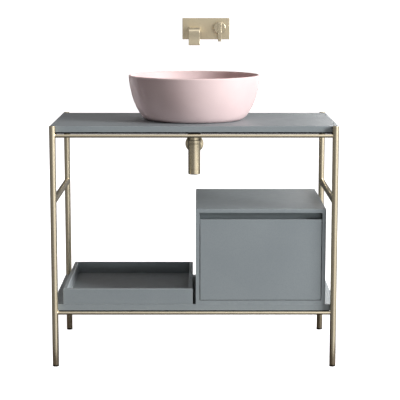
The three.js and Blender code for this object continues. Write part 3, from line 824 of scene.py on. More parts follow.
@dataclass
class MetalFrame:
    """Four leg tubes on push-in feet, rods welded between them, and a towel rail on each side."""

    palette: Palette
    cap_edge: float = 0.9 * MM
    crown: float = 0.25 * MM
    crown_side: float = 0.13 * MM
    weld: float = 1.1 * MM
    tube_wall: float = 1.9 * MM
    rib_pitch: float = 3 * MM
    rib_depth: float = 0.3 * MM

    def leg(self, corner: str) -> bpy.types.Object:
        """One leg tube, closed at the top by a slightly crowned cap.

        Args:
            corner: which leg, such as front_left.

        Returns:
            The piece.
        """
        node = f"leg_{corner}"
        box = Box.of(node)
        radius = box.size[0] / 2
        section = rod_section(radius, box.low[2], box.high[2] - self.crown, 0.3 * MM, self.cap_edge)
        section[-1, 1] += self.crown
        section[-2, 1] += self.crown_side
        grid = shifted(turned(section, 64), (*box.centre[:2], 0))
        return make_piece(f"tube_{corner}", [plain(grid, Ends.POLES)], self.palette.frame_z,
                          "washstand", [node])

    def foot(self, corner: str) -> bpy.types.Object:
        """A moulded foot: a rounded pad under the tube and a ribbed spigot inside it.

        Args:
            corner: which leg it stands under.

        Returns:
            The piece.
        """
        node = f"foot_{corner}"
        box, tube = Box.of(node), Box.of(f"leg_{corner}")
        radius, pad_top = box.size[0] / 2, tube.low[2]
        spigot = radius - self.tube_wall
        pad = rod_section(radius, box.low[2], pad_top, 0.9 * MM, 0.2 * MM)[:-1]
        z = np.linspace(pad_top, box.high[2] - 0.5 * MM, 40)
        ribs = spigot - self.rib_depth * (0.5 - 0.5 * np.cos(2 * np.pi * (z - pad_top) / self.rib_pitch))
        section = np.concatenate([pad, np.stack([ribs, z], 1), [[0, box.high[2]]]])
        grid = shifted(turned(section, 48), (*box.centre[:2], 0))
        return make_piece(f"pad_{corner}", [plain(grid, Ends.POLES)], self.palette.foot,
                          "washstand", [node])

    def rod(self, node: str) -> bpy.types.Object:
        """A round rod between two leg tubes, with a small weld round each end.

        Going round the rod by an angle, a point at a distance q from its axis lies q cos(angle)
        to the side. There the tube's face is at the root of R^2 - (q cos(angle))^2 from the
        tube's axis. The weld runs from the rod to a wider ring on the tube, in a curve that
        touches both.

        Args:
            node: the node that it stands for.

        Returns:
            The piece.
        """
        box = Box.of(node)
        axis = Axis.X if box.size[0] > box.size[1] else Axis.Y
        along, side = axis.value, 1 - axis.value
        radius = box.size[2] / 2
        tubes = [Box.of(f"leg_{c}") for c in ("front_left", "rear_right")]
        tube_radius = tubes[0].size[0] / 2
        places = [t.centre[along] for t in tubes]
        reach = min(self.weld, 0.55 * (tube_radius - radius))
        angle = np.linspace(0, 2 * np.pi, 48, endpoint=False)

        def face(q: float) -> Array:
            """How far the tube's face stands from the tube's axis, round the rod."""
            return np.sqrt(np.maximum(tube_radius**2 - (q * np.cos(angle)) ** 2, 0))

        t = np.linspace(0, 1, 6)[:, None]
        wide, near = face(radius + reach), face(radius)
        gap = (1 - t) ** 2 * wide + 2 * t * (1 - t) * near + t**2 * (near + reach)
        spread = (1 - t) ** 2 * (radius + reach) + (1 - (1 - t) ** 2) * radius + 0 * angle
        pole = np.zeros((1, len(angle)))
        sunk = np.full((1, len(angle)), near.min() * 0.4)
        gap, spread = np.concatenate([sunk, gap]), np.concatenate([pole, spread])
        position = np.concatenate([places[0] + gap, (places[1] - gap)[::-1]])
        q = np.concatenate([spread, spread[::-1]])
        grid = np.zeros((*q.shape, 3))
        grid[..., along] = position
        grid[..., side] = box.centre[side] + q * np.cos(angle)
        grid[..., 2] = box.centre[2] + q * np.sin(angle)
        finish = self.palette.frame_x if axis is Axis.X else self.palette.frame_y
        name = node.replace("_rail_", "_rod_")
        return make_piece(name, [plain(grid, Ends.POLES)], finish, "washstand", [node])

    def build(self) -> list[bpy.types.Object]:
        """Makes the whole frame.

        Returns:
            Its pieces.
        """
        corners = [f"{end}_{side}" for end in ("front", "rear") for side in ("left", "right")]
        pieces = [make(c) for c in corners for make in (self.leg, self.foot)]
        sides = ("front", "rear", "left", "right")
        pieces += [self.rod(f"{level}_rail_{side}") for level in ("upper", "lower") for side in sides]
        return pieces + [self.rod(f"towel_rail_{side}") for side in ("left", "right")]


# ------------------------------------------------------------------------------- boards


def open_box(outer: Array, inner: Array, back: float, floor: float, mouth: float, axis: Axis,
             edge: float, inner_corner: float) -> Shell:
    """A box with one open side, as one mitred and lacquered shell.

    The section runs from the middle of the back, round the outside, over the lip and down the
    inside to the floor. It is carried round the outer rectangle, then round the inner one.

    Args:
        outer: corners of the outer rectangle.
        inner: corners of the inner one.
        back, floor, mouth: where the outer back, the inner floor and the lip lie on the axis.
        axis: the direction from the back to the mouth.
        edge: radius of the outer edges and of the lip.
        inner_corner: radius of the inner corners.

    Returns:
        One closed shell.
    """
    toward = 1.0 if mouth > back else -1.0
    depth, rise = abs(mouth - back), abs(floor - back)
    outside = filleted(outer, edge, 6)
    inside = filleted(inner, inner_corner, 6)
    rows = edge_rows(0, depth, edge)[:-1]
    first, first_mark = carried(outside, rows)
    t = np.linspace(0, np.pi / 2, 5)
    one = np.ones(len(t))
    lip = np.stack([-edge * (1 - np.sin(t)), depth - edge * (1 - np.cos(t)), one], 1)
    foot = np.stack([inner_corner * (1 - np.cos(t)), rise + inner_corner * (1 - np.sin(t)), 0 * one], 1)
    down = np.concatenate([
        [[-edge - SETTLE, depth, 0]], lip, [[0, depth - edge - SETTLE, 0]], foot,
        [[inner_corner + SETTLE, rise, 0]],
    ])
    second, second_mark = carried(inside, down)
    grid = np.concatenate([first, second])
    grid[..., 2] = back + toward * grid[..., 2]
    return upright(grid, axis), Ends.CAPPED, np.concatenate([first_mark, second_mark])


@dataclass
class Boards:
    """The worktop, its sub-panel painted near-black as shade in the gap, and the shelf."""

    palette: Palette
    edge: float = 0.7 * MM
    hole_radius: float = 23 * MM
    per_side: int = 16

    def worktop(self) -> bpy.types.Object:
        """The worktop: an edge section carried round it, and a round hole for the waste.

        Returns:
            The piece.
        """
        box = Box.of("worktop")
        outline = self.outline(rectangle(box.low[:2], box.high[:2]), self.per_side)
        shell = drilled(outline, edge_rows(box.low[2], box.high[2], self.edge), self.hole_radius)
        return make_piece("worktop_board", [shell], self.palette.lacquer, "washstand", ["worktop"])

    def outline(self, corners: Array, per_side: int) -> Outline:
        """A rounded rectangle with more points along each side.

        Args:
            corners: its corners.
            per_side: points added on each side.

        Returns:
            The outline.
        """
        plain_one = filleted(corners, self.edge, 6)
        t = np.linspace(0, 1, per_side + 2)[1:-1, None]

        def widened(values: Array, blended: bool) -> Array:
            """Adds points after each corner: blended to the next corner, or the last one repeated.

            Args:
                values: one for each point of the outline.
                blended: whether the added points are blended.

            Returns:
                The values with the added ones.
            """
            each = values.reshape(4, -1, *values.shape[1:])
            ends, starts = each[:, -1:], np.roll(each, -1, 0)[:, :1]
            added = ends * (1 - t) + starts * t if blended else np.repeat(ends, per_side, 1)
            return np.concatenate([each, added], 1).reshape(-1, *values.shape[1:])

        held = (plain_one.normals, plain_one.mark, plain_one.radius, plain_one.mitre)
        return Outline(widened(plain_one.points, True), *(widened(values, False) for values in held))

    def shelf(self) -> bpy.types.Object:
        """The shelf board."""
        return make_piece("shelf_board", [board(Box.of("shelf"), self.edge)], self.palette.lacquer,
                          "washstand", ["shelf"])

    def build(self) -> list[bpy.types.Object]:
        """Makes the two boards, and paints the nodes of both sub-panels near-black: painted shade in the gaps
        under the worktop and the shelf.

        Returns:
            The two boards.
        """
        for node in ("worktop_subpanel", "shelf_subpanel"):
            dress(node, self.palette.black_board)
        return [self.worktop(), self.shelf()]


@dataclass
class Tray:
    """The loose tray: an open lacquered box with mitred corners."""

    palette: Palette
    edge: float = 1.0 * MM
    inner_corner: float = 1.5 * MM

    def build(self) -> list[bpy.types.Object]:
        """Makes the tray as one shell.

        Returns:
            Its one piece.
        """
        nodes = ["tray_front", "tray_rear", "tray_left", "tray_right", "tray_base"]
        box = Box.of(*nodes)
        inner = rectangle((Box.of("tray_left").high[0], Box.of("tray_front").high[1]),
                          (Box.of("tray_right").low[0], Box.of("tray_rear").low[1]))
        shell = open_box(rectangle(box.low[:2], box.high[:2]), inner, box.low[2],
                         Box.of("tray_base").high[2], box.high[2], Axis.Z, self.edge, self.inner_corner)
        return [make_piece("tray_shell", [shell], self.palette.lacquer, "tray", nodes)]


@dataclass
class DrawerUnit:
    """A case with a drawer, whose bevelled front leaves a finger gap below the top board."""

    palette: Palette
    edge: float = 0.45 * MM
    front_edge: float = 0.35 * MM
    lacquer_gap: float = 0.35 * MM
    inner_corner: float = 0.8 * MM
    panel_edge: float = 0.6 * MM
    sheet: float = 1.2 * MM
    bend_outside: float = 1.3 * MM
    bend_inside: float = 0.3 * MM
    cut_edge: float = 0.15 * MM
    bevel: float = 9 * MM

    def case(self) -> bpy.types.Object:
        """The case as one mitred shell, open at the front.

        Returns:
            The piece.
        """
        nodes = ["unit_top", "unit_base", "unit_left_side", "unit_right_side", "unit_back"]
        box = Box.of(*nodes)
        flat = [0, 2]
        inner = rectangle((Box.of("unit_left_side").high[0], Box.of("unit_base").high[2]),
                          (Box.of("unit_right_side").low[0], Box.of("unit_top").low[2]))
        shell = open_box(rectangle(box.low[flat], box.high[flat]), inner, box.high[1],
                         Box.of("unit_back").low[1], box.low[1], Axis.Y, self.edge, self.inner_corner)
        return make_piece("unit_case", [shell], self.palette.lacquer, "washstand", nodes)

    def front(self) -> bpy.types.Object:
        """The drawer front: a section with a sloping rear top, carried between its two ends.

        Returns:
            The piece.
        """
        box = Box.of("drawer_front")
        (front, low), (rear, high) = box.low[1:], box.high[1:]
        section = [(front, low), (rear, low), (rear, high - self.bevel), (rear - self.bevel, high),
                   (front, high)]
        left, right = box.low[0] + self.lacquer_gap, box.high[0] - self.lacquer_gap
        shell = slab(section, left, right, self.front_edge, Axis.X)
        return make_piece("front_panel", [shell], self.palette.lacquer, "drawer", ["drawer_front"])

    def panel(self, node: str, name: str, body: str) -> bpy.types.Object:
        """A plain rounded board in the place of a node."""
        return make_piece(name, [board(Box.of(node), self.panel_edge)], self.palette.lacquer, body, [node])

    def channel(self, side: str, member: str, body: str) -> bpy.types.Object:
        """One member of a runner: a bent-sheet channel carried along the drawer's travel.

        The case and middle members open towards the drawer, and the drawer's own member opens
        towards the case. Both bends of each have a round outside and inside.

        Args:
            side: left or right.
            member: case, middle or drawer.
            body: the body that it moves with.

        Returns:
            The piece.
        """
        node = f"runner_{side}_{member}"
        box = Box.of(node)
        (x0, z0), (x1, z1) = box.low[[0, 2]], box.high[[0, 2]]
        s = self.sheet
        opens_right = (side == "left") == (member != "drawer")
        web, open_edge = (x0, x1) if opens_right else (x1, x0)
        inside = web + s if opens_right else web - s
        corners = [(web, z0), (open_edge, z0), (open_edge, z0 + s), (inside, z0 + s),
                   (inside, z1 - s), (open_edge, z1 - s), (open_edge, z1), (web, z1)]
        radii = [self.bend_outside, *[self.bend_inside] * 6, self.bend_outside]
        outline = filleted(corners, radii, 5, settle=0.02 * MM)
        grid, mark = carried(outline, edge_rows(box.low[1], box.high[1], self.cut_edge, 3)[1:-1])
        shells = [(upright(grid, Axis.Y), Ends.CAPPED, mark)]
        return make_piece(f"slide_{side}_{member}", shells, self.palette.dark_zinc, body, [node])

    def build(self) -> list[bpy.types.Object]:
        """Makes the case, the grip rail, the drawer and its runners.

        Returns:
            Its pieces.
        """
        pieces = [self.case(), self.panel("grip_rail", "grip_board", "washstand"), self.front()]
        names = {"drawer_left_side": "box_left", "drawer_right_side": "box_right",
                 "drawer_back": "box_back", "drawer_bottom": "box_bottom"}
        pieces += [self.panel(node, name, "drawer") for node, name in names.items()]
        bodies = {"case": "washstand", "middle": "runner_middles", "drawer": "drawer"}
        return pieces + [self.channel(side, member, body) for side in ("left", "right")
                         for member, body in bodies.items()]


# ------------------------------------------------------------------------------- basin and waste


@dataclass
class Basin:
    """The round bowl, thrown with a soft lip, on a narrow foot ring."""

    palette: Palette
    base_radius: float = 149.7 * MM
    lip: float = 8 * MM
    floor_rise: float = 22 * MM
    floor_radius: float = 108 * MM
    drain_fall: float = 2 * MM
    recess_radius: float = 34 * MM
    recess_depth: float = 3 * MM
    hole_radius: float = 23 * MM
    relief: float = 2 * MM
    ring_width: float = 40 * MM
    waver: float = 0.12 * MM
    segments: int = 224

    def section(self, radius: float, height: float) -> tuple[Array, Array]:
        """The wall's section: one curve up the outside, a round lip, and one curve down inside.

        Args:
            radius: the rim's outer radius.
            height: the basin's height.

        Returns:
            Points (radius, height) round the section, and a mark that is 1 on the lip.
        """
        half = self.lip / 2
        rim = height - half
        base, recess, hole = self.base_radius, self.recess_radius, self.hole_radius
        ring_inner, inside = base - self.ring_width, radius - self.lip
        drain = self.floor_rise - self.drain_fall
        bed = drain - self.recess_depth
        outer = bezier([(base, 0.6 * MM), (base + 23 * MM, 0.6 * MM),
                        (radius - 5.2 * MM, 57 * MM), (radius, rim)], 56)
        t = np.linspace(0, np.pi, 22)[1:-1]
        lip = np.stack([radius - half + half * np.cos(t), rim + half * np.sin(t)], 1)
        inner = bezier([(inside, rim), (inside - 6.5 * MM, 64 * MM),
                        (base + 20 * MM, self.floor_rise + 1 * MM), (self.floor_radius, self.floor_rise)], 56)
        fall = np.linspace(0, 1, 14)[1:-1, None]
        edge = np.array([[recess + 1.2 * MM, drain + 0.03 * MM], [recess + 0.5 * MM, drain - 0.05 * MM],
                         [recess, drain - 0.5 * MM]])
        slope = inner[-1:] * (1 - fall) + edge[:1] * fall
        well = np.array([[recess, bed + 0.3 * MM], [recess - 0.3 * MM, bed], [hole + 0.4 * MM, bed],
                         [hole, bed - 0.4 * MM], [hole, self.relief + 0.3 * MM],
                         [hole + 0.3 * MM, self.relief]])
        foot = np.array([[ring_inner - 1 * MM, self.relief], [ring_inner, self.relief - 0.1 * MM],
                         [ring_inner + 1.6 * MM, 0.3 * MM], [ring_inner + 2.4 * MM, 0], [base - 1.2 * MM, 0],
                         [base - 0.4 * MM, 0.2 * MM]])
        parts = [outer, lip, inner, slope, edge, well, foot]
        mark = np.concatenate([np.full(len(p), 1.0 if p is lip else 0.0) for p in parts])
        return np.concatenate(parts), mark

    def build(self) -> list[bpy.types.Object]:
        """Turns the section about Z.

        The radius wavers by a hair, as a hand-finished bowl's does: it falls by two sine waves
        round the bowl, of three and seven crests, that grow from the foot to the rim.

        Returns:
            Its one piece.
        """
        box = Box.of("basin")
        section, mark = self.section(box.size[0] / 2, box.size[2])
        grid = turned(section, self.segments)
        angle = np.linspace(0, 2 * np.pi, self.segments, endpoint=False)
        height = section[:, 1, None] / box.size[2]
        waves = 0.25 * np.sin(3 * angle + 0.7) + 0.25 * np.sin(7 * angle + 5 * height)
        waver = -self.waver * smooth(height) * (0.5 + waves)
        grid[..., :2] *= (1 + waver / np.maximum(section[:, 0, None], self.hole_radius))[..., None]
        grid = shifted(grid, (*box.centre[:2], box.low[2]))
        shell = (grid, Ends.LOOPED, np.broadcast_to(mark[:, None], grid.shape[:2]))
        return [make_piece("bowl", [shell], self.palette.glaze, "washstand", ["basin"])]


@dataclass
class Waste:
    """The basin waste: flange, threaded body and tail, lift-and-turn plug, washer and back nut."""

    palette: Palette
    thread_radius: float = 21 * MM
    tail_radius: float = 16 * MM
    bore: float = 14.4 * MM
    pitch: float = 1.8 * MM
    thread_depth: float = 0.7 * MM
    flange_thickness: float = 3 * MM
    thread_length: float = 71 * MM
    plug_stem: float = 4 * MM
    plug_thickness: float = 4 * MM
    dome_fall: float = 2.1 * MM
    groove_depth: float = 0.25 * MM
    groove_width: float = 0.5 * MM
    segments: int = 72

    def body(self) -> bpy.types.Object:
        """The flange, the helical thread and the tail.

        The thread's radius falls by a triangle wave of height / pitch minus angle / a full turn.

        Returns:
            The piece.
        """
        box = Box.of("waste_body")
        low, top, rim = box.low[2], box.high[2], box.size[0] / 2
        under = top - self.flange_thickness
        bottom = under - self.thread_length
        bore, tail, crest = self.bore, self.tail_radius, self.thread_radius
        upper = np.array([
            [bore, low], [bore, top - 0.8 * MM], [bore + 0.3 * MM, top - 0.2 * MM], [bore + 0.9 * MM, top],
            [rim - 1.2 * MM, top], [rim - 0.5 * MM, top - 0.15 * MM], [rim - 0.1 * MM, top - 0.6 * MM],
            [rim, top - 1.3 * MM], [rim, under + 0.3 * MM], [rim - 0.3 * MM, under], [crest, under],
        ])
        z = np.linspace(under - 2 * MM, bottom + 1 * MM, int(self.thread_length / self.pitch * 6))
        thread = np.stack([np.full(len(z), crest), z], 1)
        lower = np.array([[crest - 0.8 * MM, bottom], [tail, bottom], [tail, low + 0.4 * MM],
                          [tail - 0.4 * MM, low]])
        section = np.concatenate([upper, thread, lower])
        grid = turned(section, self.segments)
        angle = np.linspace(0, 1, self.segments, endpoint=False)
        rows = slice(len(upper), len(upper) + len(thread))
        wave = np.abs(((z[:, None] / self.pitch - angle) % 1) * 2 - 1)
        grid[rows, :, :2] *= (1 - self.thread_depth * wave / crest)[..., None]
        return make_piece("waste_fitting", [plain(grid, Ends.LOOPED)], self.palette.fitting_upright,
                          "washstand", ["waste_body"])

    def plug(self) -> bpy.types.Object:
        """The plug: a shallow dome with a rounded rim and a turned line, on its stem.

        The dome falls with the square of the radius, and the line is a narrow bell curve.

        Returns:
            The piece.
        """
        box = Box.of("waste_plug")
        radius, low, top, stem = box.size[0] / 2, box.low[2], box.high[2], self.plug_stem
        under = top - self.plug_thickness
        r = np.linspace(0, radius - 1.2 * MM, 40)
        groove = self.groove_depth * np.exp(-(((r - 0.86 * radius) / self.groove_width) ** 2))
        dome = top - self.dome_fall * (r / radius) ** 2 - groove
        edge = dome[-1]
        rest = [[radius - 0.4 * MM, edge - 0.2 * MM], [radius, edge - 0.8 * MM], [radius, under + 0.3 * MM],
                [radius - 0.3 * MM, under], [stem, under], [stem, low + 0.6 * MM], [stem - 0.6 * MM, low],
                [0, low]]
        section = np.concatenate([np.stack([r, dome], 1), rest])
        return make_piece("plug_dome", [plain(turned(section, 96), Ends.POLES)], self.palette.fitting,
                          "plug", ["waste_plug"])

    def washer(self) -> bpy.types.Object:
        """The rubber washer under the sub-panel.

        Returns:
            The piece.
        """
        box = Box.of("waste_washer")
        inner, outer = self.thread_radius + 0.3 * MM, box.size[0] / 2
        section = ring_section(rectangle((inner, box.low[2]), (outer, box.high[2])), 0.5 * MM)
        grid = turned(section, self.segments)
        return make_piece("washer_ring", [plain(grid, Ends.LOOPED)], self.palette.rubber,
                          "washstand", ["waste_washer"])

    def nut(self) -> bpy.types.Object:
        """The six-sided back nut: an edge section carried round the hexagon, and a round hole.

        Returns:
            The piece.
        """
        box = Box.of("waste_backnut")
        corner = max(box.size[:2]) / 2
        turn = np.arange(6) * np.pi / 3 + (0 if box.size[0] > box.size[1] else np.pi / 6)
        outline = filleted(np.stack([np.cos(turn), np.sin(turn)], 1) * corner, 1.2 * MM, 8, settle=4 * MM)
        rows = edge_rows(box.low[2], box.high[2], 0.7 * MM)[1:-1]
        shell = drilled(outline, rows, self.thread_radius + 0.35 * MM)
        return make_piece("back_nut", [shell], self.palette.zinc, "washstand", ["waste_backnut"])

    def build(self) -> list[bpy.types.Object]:
        """Makes the four pieces."""
        return [self.body(), self.plug(), self.washer(), self.nut()]


@dataclass
class Trap:
    """The bottle trap: inlet nut, bottle, outlet pipe and wall rosette."""

    palette: Palette
    tail_radius: float = 16.2 * MM
    wall: float = 1.5 * MM
    base: float = 3 * MM
    bottom_round: float = 3.2 * MM
    joint_height: float = 17 * MM
    joint_depth: float = 0.45 * MM
    outlet_wall: float = 1.2 * MM

    def nut(self) -> bpy.types.Object:
        """The inlet nut, with a groove turned above its lower flange.

        Returns:
            The piece.
        """
        box = Box.of("trap_nut")
        r, low, high, inner, step = box.size[0] / 2, box.low[2], box.high[2], self.tail_radius, 1 * MM
        groove = low + 0.3 * (high - low)
        corners = [(inner, low), (r - step, low), (r - step, groove - step), (r, groove), (r, high - step),
                   (r - step, high), (inner, high)]
        section = ring_section(corners, np.array([0.2, 0.3, 0.25, 0.4, 0.4, 0.4, 0.2]) * MM)
        shell = plain(turned(section, 80), Ends.LOOPED)
        return make_piece("inlet_nut", [shell], self.palette.fitting_upright, "washstand", ["trap_nut"])

    def bottle(self) -> bpy.types.Object:
        """The bottle: a turned cup with a rounded bottom and a fine joint line above its base.

        Returns:
            The piece.
        """
        box = Box.of("trap_bottle")
        r, low, high, b = box.size[0] / 2, box.low[2], box.high[2], self.bottom_round
        t = np.linspace(0, np.pi / 2, 9)
        bottom = np.stack([r - b + b * np.sin(t), low + b - b * np.cos(t)], 1)
        joint, deep = low + self.joint_height, r - self.joint_depth
        line = np.array([[r, joint - 0.5 * MM], [deep, joint - 0.2 * MM], [deep, joint + 0.2 * MM],
                         [r, joint + 0.5 * MM]])
        inside, floor, corner = r - self.wall, low + self.base, 2 * MM
        top = np.array([[r, high - 0.5 * MM], [r - 0.5 * MM, high], [inside, high],
                        [inside, floor + corner], [inside - corner, floor], [0, floor]])
        section = np.concatenate([[[0, low], [r * 0.5, low]], bottom, line, top])
        shell = plain(turned(section, 96), Ends.POLES)
        return make_piece("bottle_cup", [shell], self.palette.fitting_upright, "washstand",
                          ["trap_bottle"])

    def pipe(self) -> bpy.types.Object:
        """The outlet pipe. Its inner end is hollowed to lie on the bottle.

        At a height q sin(angle) and a side step q cos(angle), the bottle's face is at the root of
        its radius squared less the side step squared.

        Returns:
            The piece.
        """
        box, cup = Box.of("trap_outlet_pipe"), Box.of("trap_bottle")
        outer = box.size[0] / 2
        inner = outer - self.outlet_wall
        angle = np.linspace(0, 2 * np.pi, 72, endpoint=False)
        q = np.array([outer, outer, outer - 0.3 * MM, inner + 0.3 * MM, inner, inner])[:, None] + 0 * angle
        meet = np.sqrt(cup.size[0] ** 2 / 4 - (q * np.cos(angle)) ** 2) - 0.1 * MM
        far = box.high[1]
        end = np.array([0, far - 0.3 * MM, far, far, far - 0.3 * MM, 0])[:, None]
        along = np.where(end > 0, end, meet)
        grid = np.stack([box.centre[0] + q * np.cos(angle), along, box.centre[2] + q * np.sin(angle)], -1)
        return make_piece("outlet_tube", [plain(grid, Ends.LOOPED)], self.palette.fitting, "washstand",
                          ["trap_outlet_pipe"])

    def rosette(self) -> bpy.types.Object:
        """The wall rosette: a bell-shaped ring that sweeps out from the pipe to the wall.

        Returns:
            The piece.
        """
        box = Box.of("wall_rosette")
        r, depth = box.size[0] / 2, box.size[1]
        hole = Box.of("trap_outlet_pipe").size[0] / 2 + 0.15 * MM
        rise = bezier([(r - 0.6 * MM, 2.4 * MM), (r - 5 * MM, 3.4 * MM), (hole + 5.5 * MM, 4.5 * MM),
                       (hole + 2.6 * MM, depth - 0.5 * MM)], 26)
        flange = [[hole, 0], [r - 0.3 * MM, 0], [r, 0.3 * MM], [r, 1.6 * MM]]
        collar = [[hole + 2.1 * MM, depth], [hole + 0.4 * MM, depth], [hole, depth - 0.4 * MM]]
        section = np.concatenate([flange, rise, collar])
        grid = turned_from_wall(section, 96, (box.centre[0], box.high[1], box.centre[2]))
        return make_piece("rosette_bell", [plain(grid, Ends.LOOPED)], self.palette.fitting, "washstand",
                          ["wall_rosette"])

    def build(self) -> list[bpy.types.Object]:
        """Makes the four pieces, and gives the hidden dip tube its plastic.

        Returns:
            Its pieces.
        """
        dress("trap_dip_tube", self.palette.foot)
        return [self.nut(), self.bottle(), self.pipe(), self.rosette()]


# ------------------------------------------------------------------------------- wall tap


@dataclass
class WallTap:
    """The wall mixer: a plate, a bent blade spout with its aerator, and a lever on its cartridge."""

    palette: Palette
    plate_edge: float = 0.9 * MM
    plate_corner: float = 1.8 * MM
    spout_edge: float = 0.7 * MM
    arm: float = 14 * MM
    blade: float = 12 * MM
    bend: float = 8 * MM
    inner_bend: float = 4 * MM
    hollow: float = 0.8 * MM
    slot: tuple[float, float] = (27 * MM, 7 * MM)
    slot_depth: float = 11 * MM
    ribs: int = 9
    rib: float = 1 * MM
    hub_depth: float = 16 * MM
    hub_wall: float = 3.2 * MM
    hub_face: float = 6 * MM
    hub_edge: float = 1.5 * MM
    bar_sunk: float = 3 * MM
    bar_width: float = 11.5 * MM
    bar_above: float = 16.7 * MM

    def plate(self) -> bpy.types.Object:
        """The wall plate, a rounded slab whose thickness is along Y.

        Returns:
            The piece.
        """
        box = Box.of("tap_plate")
        flat = [0, 2]
        shell = slab(rectangle(box.low[flat], box.high[flat]), box.low[1], box.high[1], self.plate_edge,
                     Axis.Y, self.plate_corner)
        return make_piece("wall_plate", [shell], self.palette.fitting, "washstand", ["tap_plate"])

    def spout(self) -> bpy.types.Object:
        """The spout: a rounded section carried along two lines, the outer and the inner face.

        Both lines run level out of the plate, round concentric quarter turns and down. A section
        point lies across the spout by its own x, and between the two lines by its own share. At
        the outlet the rows turn in over the end and up into the slot.

        Returns:
            The piece.
        """
        box = Box.of("tap_spout")
        wall, front, top, low = box.high[1], box.low[1], box.high[2], box.low[2]
        under, back = top - self.arm, front + self.blade
        half_width, t = box.size[0] / 2, np.linspace(0, np.pi / 2, 14)

        def line(level: float, face: float, radius: float) -> Array:
            """Points (y, z) along the level stretch, the bend and the fall of one face.

            Args:
                level: height of the level stretch's face.
                face: how far forward the fall's face stands.
                radius: radius of the bend.

            Returns:
                Points (y, z).
            """
            bend = np.stack([face + radius - radius * np.sin(t), level - radius + radius * np.cos(t)], 1)
            start = np.array([[wall, level], [wall - self.spout_edge, level]])
            stop = np.array([[face, low + self.spout_edge], [face, low]])
            return np.concatenate([start, bend, stop])

        outer, inner = line(top, front, self.bend), line(under, back, self.inner_bend)
        fall = np.linspace(0, 1, 12)[1:-1, None]
        dip = np.concatenate([self.hollow * np.sin(np.pi * fall) ** 2, 0 * fall], 1)
        outer = np.concatenate([outer[:-2], outer[-3] * (1 - fall) + outer[-2] * fall + dip, outer[-2:]])
        inner = np.concatenate([inner[:-2], inner[-3] * (1 - fall) + inner[-2] * fall, inner[-2:]])
        thick = np.linalg.norm(outer - inner, axis=1)
        e = self.spout_edge
        shrink = np.zeros(len(outer))
        shrink[0] = shrink[-1] = e * 0.6
        rings = zip(outer, inner, thick, shrink)
        grid = [self.ring(a, b, half_width, between, e, drawn) for a, b, between, drawn in rings]
        middle = (outer[-1] + inner[-1]) / 2
        slot_x, slot_y = self.slot[0] / 2, self.slot[1] / 2
        for rise, ease in ((0.0, 0.15 * MM), (0.2 * MM, 0.0), (self.slot_depth, 0.0)):
            a = middle + [-slot_y - ease, rise]
            b = middle + [slot_y + ease, rise]
            grid.append(self.ring(a, b, slot_x + ease, 2 * (slot_y + ease), 0.6 * MM, 0.0))
        shell = plain(np.stack(grid), Ends.CAPPED)
        return make_piece("spout_blade", [shell], self.palette.fitting, "washstand", ["tap_spout"])

    def ring(self, outer: Array, inner: Array, half_width: float, thick: float, corner: float,
             shrink: float) -> Array:
        """One rounded rectangle across the spout, between a point of each face.

        Args:
            outer, inner: points (y, z) on the two faces.
            half_width: half of the spout's width.
            thick: the distance between the faces.
            corner: radius of the section's corners.
            shrink: how far the ring is drawn in, to round the end.

        Returns:
            Points (n, 3).
        """
        h, w = thick / 2 - shrink, half_width - shrink
        flat = filleted(rectangle((-w, -h), (w, h)), corner, 6, settle=0.3 * MM).points
        share = 0.5 + flat[:, 1:] / thick
        across = Box.of("tap_spout").centre[0] + flat[:, :1]
        return np.concatenate([across, inner * (1 - share) + outer * share], 1)

    def aerator(self) -> bpy.types.Object:
        """The aerator insert: a rounded block with a row of fine ribs across its lower face.

        Returns:
            The piece.
        """
        box = Box.of("tap_aerator")
        low, high, rib, margin = box.low[2], box.high[2], self.rib, 0.8 * MM
        block = rectangle(box.low[:2], box.high[:2])
        shells = [slab(block, low + 0.6 * MM, high, 0.4 * MM, Axis.Z, margin)]
        near, far = box.low[1] + margin, box.high[1] - margin
        starts = np.linspace(box.low[0] + 2 * rib, box.high[0] - 3 * rib, self.ribs)
        shells += [slab(rectangle((x, near), (x + rib, far)), low, low + rib, 0.2 * MM, Axis.Z, 0.3 * MM, 3)
                   for x in starts]
        return make_piece("aerator_insert", shells, self.palette.foot, "washstand", ["tap_aerator"])

    def stem(self, node: str, name: str, body: str,
             steps: Sequence[tuple[float, float]]) -> bpy.types.Object:
        """A turned part behind the hub.

        Args:
            node: the node that it stands for.
            name: the piece's name.
            body: the body it moves with.
            steps: (radius, distance from its wall end) of each corner of its section.

        Returns:
            The piece.
        """
        box = Box.of(node)
        corners = np.array([(0, 0), *steps, (0, steps[-1][1])], float)
        inside = ring_section(corners[1:-1], 0.3 * MM) if len(steps) > 2 else corners[1:-1]
        section = np.concatenate([corners[:1], inside, corners[-1:]])
        grid = turned_from_wall(section, 64, (box.centre[0], box.high[1], box.centre[2]))
        return make_piece(name, [plain(grid, Ends.POLES)], self.palette.zinc, body, [node])

